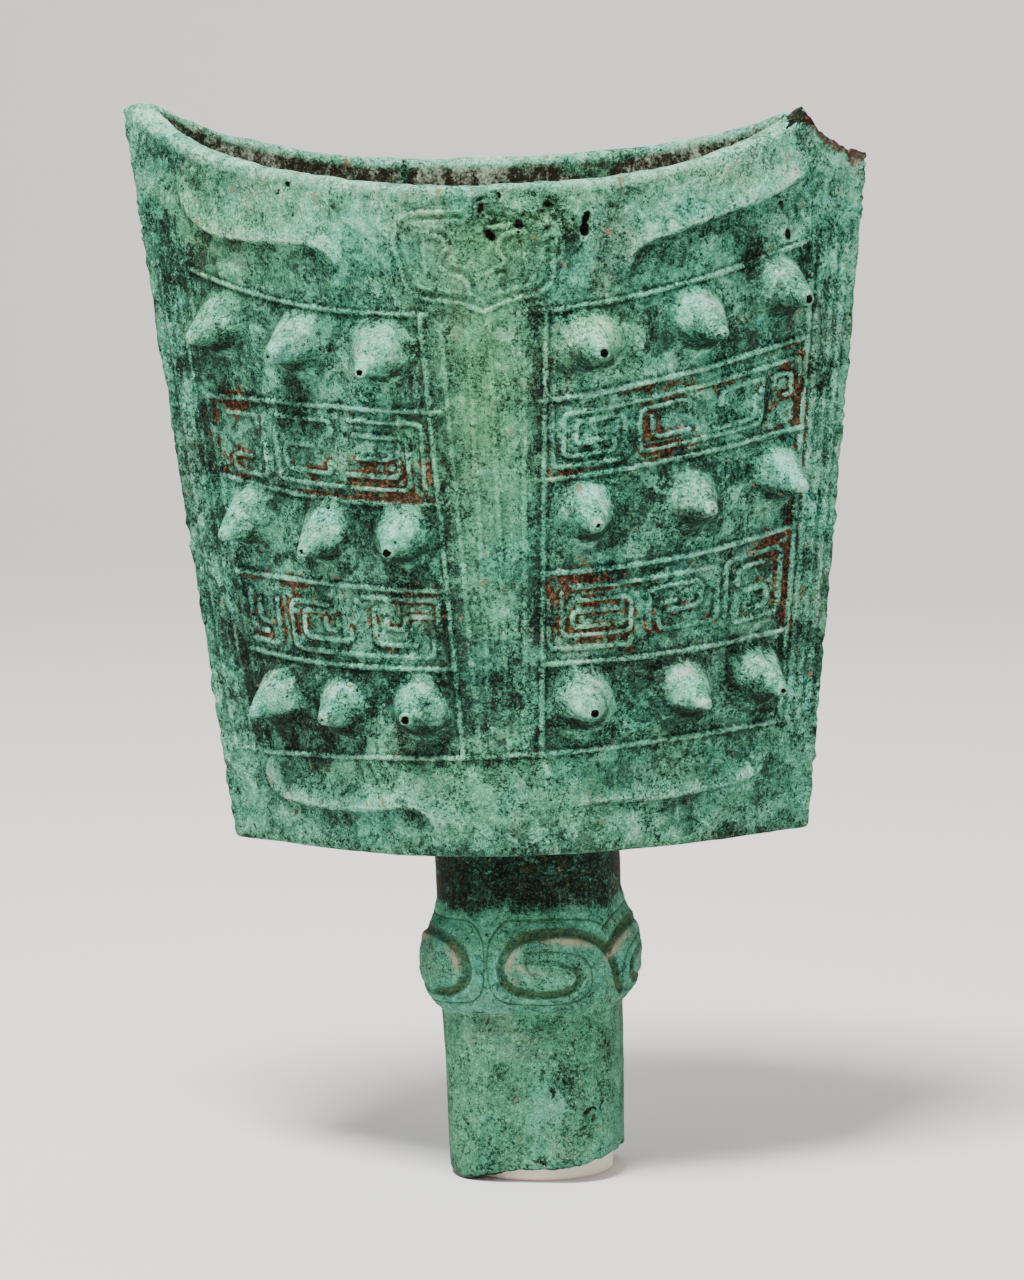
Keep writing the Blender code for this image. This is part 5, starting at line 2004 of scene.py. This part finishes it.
@dataclass(frozen=True)
class PatinaFinish:
    """Old bronze under a granular green patina, with rust-brown crust in the grooves."""

    tones: tuple = (
        (0.18, display_colour(9, 13, 9)), (0.30, display_colour(21, 37, 29)),
        (0.40, display_colour(45, 79, 63)),
        (0.50, display_colour(75, 139, 108)), (0.58, display_colour(98, 173, 138)),
        (0.67, display_colour(134, 212, 178)), (0.80, display_colour(192, 238, 212)),
    )
    warm_tint: tuple = (1.13, 1.0, 0.82, 1.0)
    teal_tint: tuple = (0.82, 1.0, 1.12, 1.0)
    dusk_tint: tuple = (1.22, 0.90, 0.92, 1.0)
    rusts: tuple = (
        (0.36, display_colour(24, 15, 9)), (0.48, display_colour(60, 34, 19)),
        (0.59, display_colour(116, 70, 42)), (0.74, display_colour(166, 128, 96)),
    )
    inside_tones: tuple = (
        (0.29, display_colour(30, 27, 18)), (0.38, display_colour(66, 62, 46)),
        (0.46, display_colour(100, 112, 92)), (0.62, display_colour(166, 182, 156)),
    )
    broken_tones: tuple = (
        (0.38, display_colour(30, 11, 10)), (0.54, display_colour(84, 40, 34)),
        (0.70, display_colour(196, 158, 148)),
    )
    beige: tuple = display_colour(168, 160, 134)
    groove_tones: tuple = ((0.36, display_colour(22, 40, 26)), (0.62, display_colour(84, 116, 78)))
    soot_tones: tuple = (
        (0.35, display_colour(3, 4, 2)), (0.47, display_colour(13, 17, 9)),
        (0.60, display_colour(54, 66, 42)),
    )
    blush: tuple = display_colour(146, 110, 82)
    pit_tones: tuple = ((0.42, display_colour(9, 8, 6)), (0.64, display_colour(54, 32, 22)))

    def material(self) -> Material:
        """Lays the patina's colours over one another.

        Returns:
            The material.
        """
        make = PatinaNodes("green_patina")
        fields, grain, clots = make.fields, make.grain, make.clots
        colour = self.tinted(make, make.ramp(make.tone(), self.tones))
        filling = make.product(make.groove, make.between(make.noise(190, 5, 0.66), 0.42, 0.54, 0.30, 0.85))
        colour = make.colour_mix(filling, colour, make.ramp(grain, self.groove_tones))
        colour = self.rusted(make, colour)
        soot_share = make.maths("MULTIPLY_ADD", fields["soot"], 0.5, make.noise(230, 6, 0.68, 1.1))
        soot_colour = make.ramp(make.sum_of((grain, 0.9, -0.05), (clots, 0.5, 0.5)), self.soot_tones)
        colour = make.colour_mix(make.between(soot_share, 0.74, 0.765), colour, soot_colour)
        worn = make.product(fields["worn"], make.between(clots, 0.40, 0.48))
        colour = make.colour_mix(worn, colour, self.beige)
        inner = make.sum_of(
            (clots, 0.9, 0.05), (grain, 0.9, 0.5), (make.chips, 0.10, 0.5), (make.skin, 0.10, 0.6)
        )
        inner_share = make.product(fields["inner"], make.between(make.skin_noise, 0.36, 0.42))
        colour = make.colour_mix(inner_share, colour, make.ramp(inner, self.inside_tones))
        broken_colour = make.ramp(make.sum_of((clots, 0.6, 0.0), (grain, 0.6, 0.15)), self.broken_tones)
        colour = make.colour_mix(fields["fracture"], colour, broken_colour)
        holes = make.holes()
        # Pits painted near-black to dark red-brown: partly the crust in them, partly painted shade in the
        # holes.
        colour = make.colour_mix(holes, colour, make.ramp(grain, self.pit_tones))
        make.link(colour, make.shader.inputs["Base Color"])
        make.link(make.between(clots, 0.3, 0.7, 0.60, 0.85), make.shader.inputs["Roughness"])
        make.link(make.surface(holes), make.shader.inputs["Normal"])
        make.shader.inputs["Metallic"].default_value = 0.0
        make.shader.inputs["Specular IOR Level"].default_value = 0.10
        return make.material

    def tinted(self, make: PatinaNodes, colour: Socket) -> Socket:
        """Tints parts of the patina teal, dusky and warm.

        Args:
            make: the patina's patterns.
            colour: the patina's own colour.

        Returns:
            The tinted colour.
        """
        teal = make.between(make.noise(30, 6, 0.66, 0.8), 0.48, 0.62)
        colour = make.colour_mix(teal, colour, self.teal_tint, "MULTIPLY")
        dusk = make.between(make.noise(34, 5, 0.6, 0.9), 0.55, 0.60, 0.0, 0.8)
        colour = make.colour_mix(dusk, colour, self.dusk_tint, "MULTIPLY")
        return make.colour_mix(make.fields["warm"], colour, self.warm_tint, "MULTIPLY")

    def rusted(self, make: PatinaNodes, colour: Socket) -> Socket:
        """Lays rust crusts, rust spots and a reddish blush over the patina.

        Args:
            make: the patina's patterns.
            colour: the colour under them.

        Returns:
            The colour with rust.
        """
        rust, grain = make.fields["rust"], make.grain
        rust_field = make.product(rust, make.maths("MULTIPLY_ADD", make.fields["hollow"], 0.75, 0.5))
        share = make.spread(make.noise(170, 5, 0.62, 0.8), 0.5, 2.2, rust_field)
        share = make.sum_of((share, 1.0, 0.0), (make.crest_pale_and_highlight, -0.35, 0.0), (grain, 0.8, 0.5))
        rust_colour = make.ramp(make.sum_of((grain, 1.3, 0.13), (make.clots, 0.7, 0.5)), self.rusts)
        colour = make.colour_mix(make.between(share, 0.66, 0.70, 0.0, 0.92), colour, rust_colour)
        spots = make.plus(make.noise(390, 3, 0.6), make.product(rust, 0.06))
        colour = make.colour_mix(make.between(spots, 0.705, 0.73, 0.0, 0.85), colour, rust_colour)
        blush = make.sum_of(
            (make.noise(210, 4, 0.55, 0.5), 1.0, 0.0), (make.fields["pale"], 0.08, 0.0),
            (rust_field, 0.03, 0.0),
        )
        blush = make.maths("MULTIPLY_ADD", make.ragged_edge, 1.6, blush)
        return make.colour_mix(make.between(blush, 0.70, 0.72, 0.0, 0.75), colour, self.blush)


@dataclass(frozen=True)
class LinenFinish:
    """Fine plain-weave linen."""

    cream: tuple = display_colour(255, 249, 232)
    shade: tuple = display_colour(250, 236, 214)
    threads_a_metre: float = 1700.0

    def material(self) -> Material:
        """Lays out the linen's nodes.

        Returns:
            The material.
        """
        make = NodeMaker("cream_linen")
        uv = make.tree.nodes.new("ShaderNodeUVMap").outputs["UV"]
        waves = []
        for direction in ("X", "Y"):
            node = make.tree.nodes.new("ShaderNodeTexWave")
            node.bands_direction = direction
            node.inputs["Scale"].default_value = self.threads_a_metre / 20
            node.inputs["Distortion"].default_value = 0.6
            node.inputs["Detail"].default_value = 2.0
            make.link(uv, node.inputs["Vector"])
            waves.append(node.outputs["Fac"])
        weave = make.product(waves[0], waves[1])
        slubs = make.noise(260, 4, 0.7)
        share = make.between(make.plus(make.product(weave, 0.7), make.product(slubs, 0.4)), 0.1, 0.8)
        make.link(make.colour_mix(share, self.shade, self.cream), make.shader.inputs["Base Color"])
        make.shader.inputs["Roughness"].default_value = 0.92
        make.shader.inputs["Sheen Weight"].default_value = 0.15
        make.link(make.bump(weave, 0.6, 0.0003), make.shader.inputs["Normal"])
        return make.material


@dataclass(frozen=True)
class SupportPlug:
    """The round linen-covered plug under the shank."""

    radius: float = 27.0
    height: float = 14.0
    edge: float = 1.6

    def build(self) -> Object:
        """Builds the plug.

        Returns:
            The plug's object.
        """
        bm = bmesh.new()
        bmesh.ops.create_circle(bm, cap_ends=True, segments=96, radius=self.radius - 0.4)
        top = bmesh.ops.extrude_face_region(bm, geom=list(bm.faces))["geom"]
        verts = [item for item in top if isinstance(item, BMVert)]
        bmesh.ops.translate(bm, vec=(0.0, 0.0, self.height), verts=verts)
        rims = [edge for edge in bm.edges if abs(edge.verts[0].co.z - edge.verts[1].co.z) < 1e-6]
        bmesh.ops.bevel(bm, geom=rims, offset=self.edge, segments=4, profile=0.5, affect="EDGES", material=-1)
        caps = [face for face in bm.faces if len(face.verts) > 20]
        for _ in range(2):
            bmesh.ops.inset_region(bm, faces=caps, thickness=self.radius * 0.3)
        uprights = [edge for edge in bm.edges if abs(edge.verts[0].co.z - edge.verts[1].co.z) > 3]
        bmesh.ops.subdivide_edges(bm, edges=uprights, cuts=5, use_grid_fill=True)
        bmesh.ops.recalc_face_normals(bm, faces=bm.faces)
        uv = bm.loops.layers.uv.new("cloth")
        radius = self.radius
        for face in bm.faces:
            flat = abs(face.normal.z) > 0.9
            middle = face.calc_center_median()
            home = math.atan2(middle.y, middle.x)
            for loop in face.loops:
                co = loop.vert.co
                angle = math.atan2(co.y, co.x)
                angle += 2 * math.pi * round((home - angle) / (2 * math.pi))
                across, along = (co.x, co.y) if flat else (angle * radius, co.z)
                loop[uv].uv = (across * MM * 10, along * MM * 10)
        for vert in bm.verts:
            if 0.5 < vert.co.z < self.height - 0.5:
                out = Vector((vert.co.x, vert.co.y, 0)).normalized()
                vert.co += out * (0.25 * noise.noise(vert.co * 0.12) + 0.1)
            vert.co.z = max(vert.co.z, 0.0)
        bmesh.ops.scale(bm, vec=(MM, MM, MM), verts=bm.verts)
        for face in bm.faces:
            face.smooth = True
        return finished_object("linen_plug", bm)


@dataclass(frozen=True)
class Studio:
    """The pale floor, the soft lights and the camera, a little to the bell's front left.

    Lengths are metres, angles degrees, and the lens is in millimetres.
    """

    camera_distance: float = 1.8
    camera_azimuth: float = 6.0
    camera_height: float = 0.3894
    camera_pitch: float = 6.3217
    camera_heading: float = 6.3033
    lens: float = 143.44
    floor_colour: tuple = display_colour(240, 236, 231)
    floor_half_width: float = 6.0
    floor_front: float = -3.5
    floor_back: float = 2.2
    sweep: float = 1.2
    backdrop_height: float = 4.0

    def plain_material(self, name: str, colour: tuple) -> Material:
        """A plain matt material.

        Args:
            name: its name.
            colour: its colour.

        Returns:
            The material.
        """
        made = bpy.data.materials.new(name)
        made.use_nodes = True
        shader = made.node_tree.nodes["Principled BSDF"]
        shader.inputs["Base Color"].default_value = colour
        shader.inputs["Roughness"].default_value = 0.9
        return made

    def build_floor(self) -> Object:
        """Builds the floor, which sweeps up into a pale backdrop.

        Returns:
            The floor's object.
        """
        bm = bmesh.new()
        bmesh.ops.create_grid(bm, x_segments=1, y_segments=1, size=1.0)
        for vert in bm.verts:
            place = self.floor_front if vert.co.y < 0 else self.floor_back
            vert.co = (vert.co.x * self.floor_half_width, place, 0.0)
        far = [edge for edge in bm.edges if min(vert.co.y for vert in edge.verts) > self.floor_back - 0.01]
        for angle in range(10, 91, 10):
            verts, far = drawn_out(bm, far)
            turn = math.radians(angle)
            for vert in verts:
                vert.co.y = self.floor_back + self.sweep * math.sin(turn)
                vert.co.z = self.sweep * (1 - math.cos(turn))
        verts, _ = drawn_out(bm, far)
        bmesh.ops.translate(bm, vec=(0, 0, self.backdrop_height), verts=verts)
        for face in bm.faces:
            face.smooth = True
        floor = finished_object("studio_floor", bm)
        floor.data.materials.append(self.plain_material("pale_floor", self.floor_colour))
        return floor

    def add_light(self, name: str, place: tuple, target: tuple, size: float, power: float) -> None:
        """Adds a soft square light.

        Args:
            name: its name.
            place: where it stands.
            target: what it points at.
            size: its side.
            power: its power in watts.
        """
        data = bpy.data.lights.new(name, "AREA")
        data.size = size
        data.energy = power
        light = bpy.data.objects.new(name, data)
        light.location = place
        light.rotation_euler = (Vector(target) - Vector(place)).to_track_quat("-Z", "Y").to_euler()
        bpy.context.scene.collection.objects.link(light)

    def build_lights(self) -> None:
        """Adds the soft studio light."""
        world = bpy.data.worlds.new("soft_room")
        world.use_nodes = True
        background = world.node_tree.nodes["Background"]
        background.inputs["Color"].default_value = (0.80, 0.80, 0.81, 1.0)
        background.inputs["Strength"].default_value = 0.42
        bpy.context.scene.world = world
        self.add_light("overhead", (-0.30, -0.85, 2.1), (0.0, 0.0, 0.25), 0.6, 98)
        self.add_light("front_left", (-1.5, -1.7, 1.1), (0.0, 0.0, 0.22), 1.2, 8)
        self.add_light("right_fill", (1.7, -1.5, 1.2), (0.0, 0.0, 0.22), 1.4, 17)
        self.add_light("backdrop_wash", (0.0, 0.9, 2.2), (0.0, 3.0, 0.7), 2.0, 40)

    def build_camera(self) -> None:
        """Adds the camera."""
        data = bpy.data.cameras.new("camera")
        data.lens = self.lens
        data.sensor_width = 36.0
        data.sensor_fit = "AUTO"
        data.clip_start = 0.05
        camera = bpy.data.objects.new("camera", data)
        turn, away = math.radians(self.camera_azimuth), self.camera_distance
        camera.location = (away * math.sin(turn), -away * math.cos(turn), self.camera_height)
        camera.rotation_euler = (math.radians(90 - self.camera_pitch), 0.0, math.radians(self.camera_heading))
        bpy.context.scene.collection.objects.link(camera)
        bpy.context.scene.camera = camera


def dress(piece: Object, node: str, finish: Material) -> None:
    """Gives a piece its finish and says what it stands for.

    Args:
        piece: the piece.
        node: the solid that it replaces.
        finish: its material.
    """
    piece.data.materials.append(finish)
    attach(piece, "root")
    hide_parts(node)
    LOG.info("%s stands for %s: %d faces", piece.name, node, len(piece.data.polygons))


def main() -> None:
    """Builds the bell, its plug and the studio."""
    logging.basicConfig(level=logging.INFO, format="%(name)s: %(message)s")
    dress(BellCasting().build(), "bell", PatinaFinish().material())
    dress(SupportPlug().build(), "support_plug", LinenFinish().material())
    studio = Studio()
    studio.build_floor()
    studio.build_lights()
    studio.build_camera()


if __name__ == "__main__":
    main()
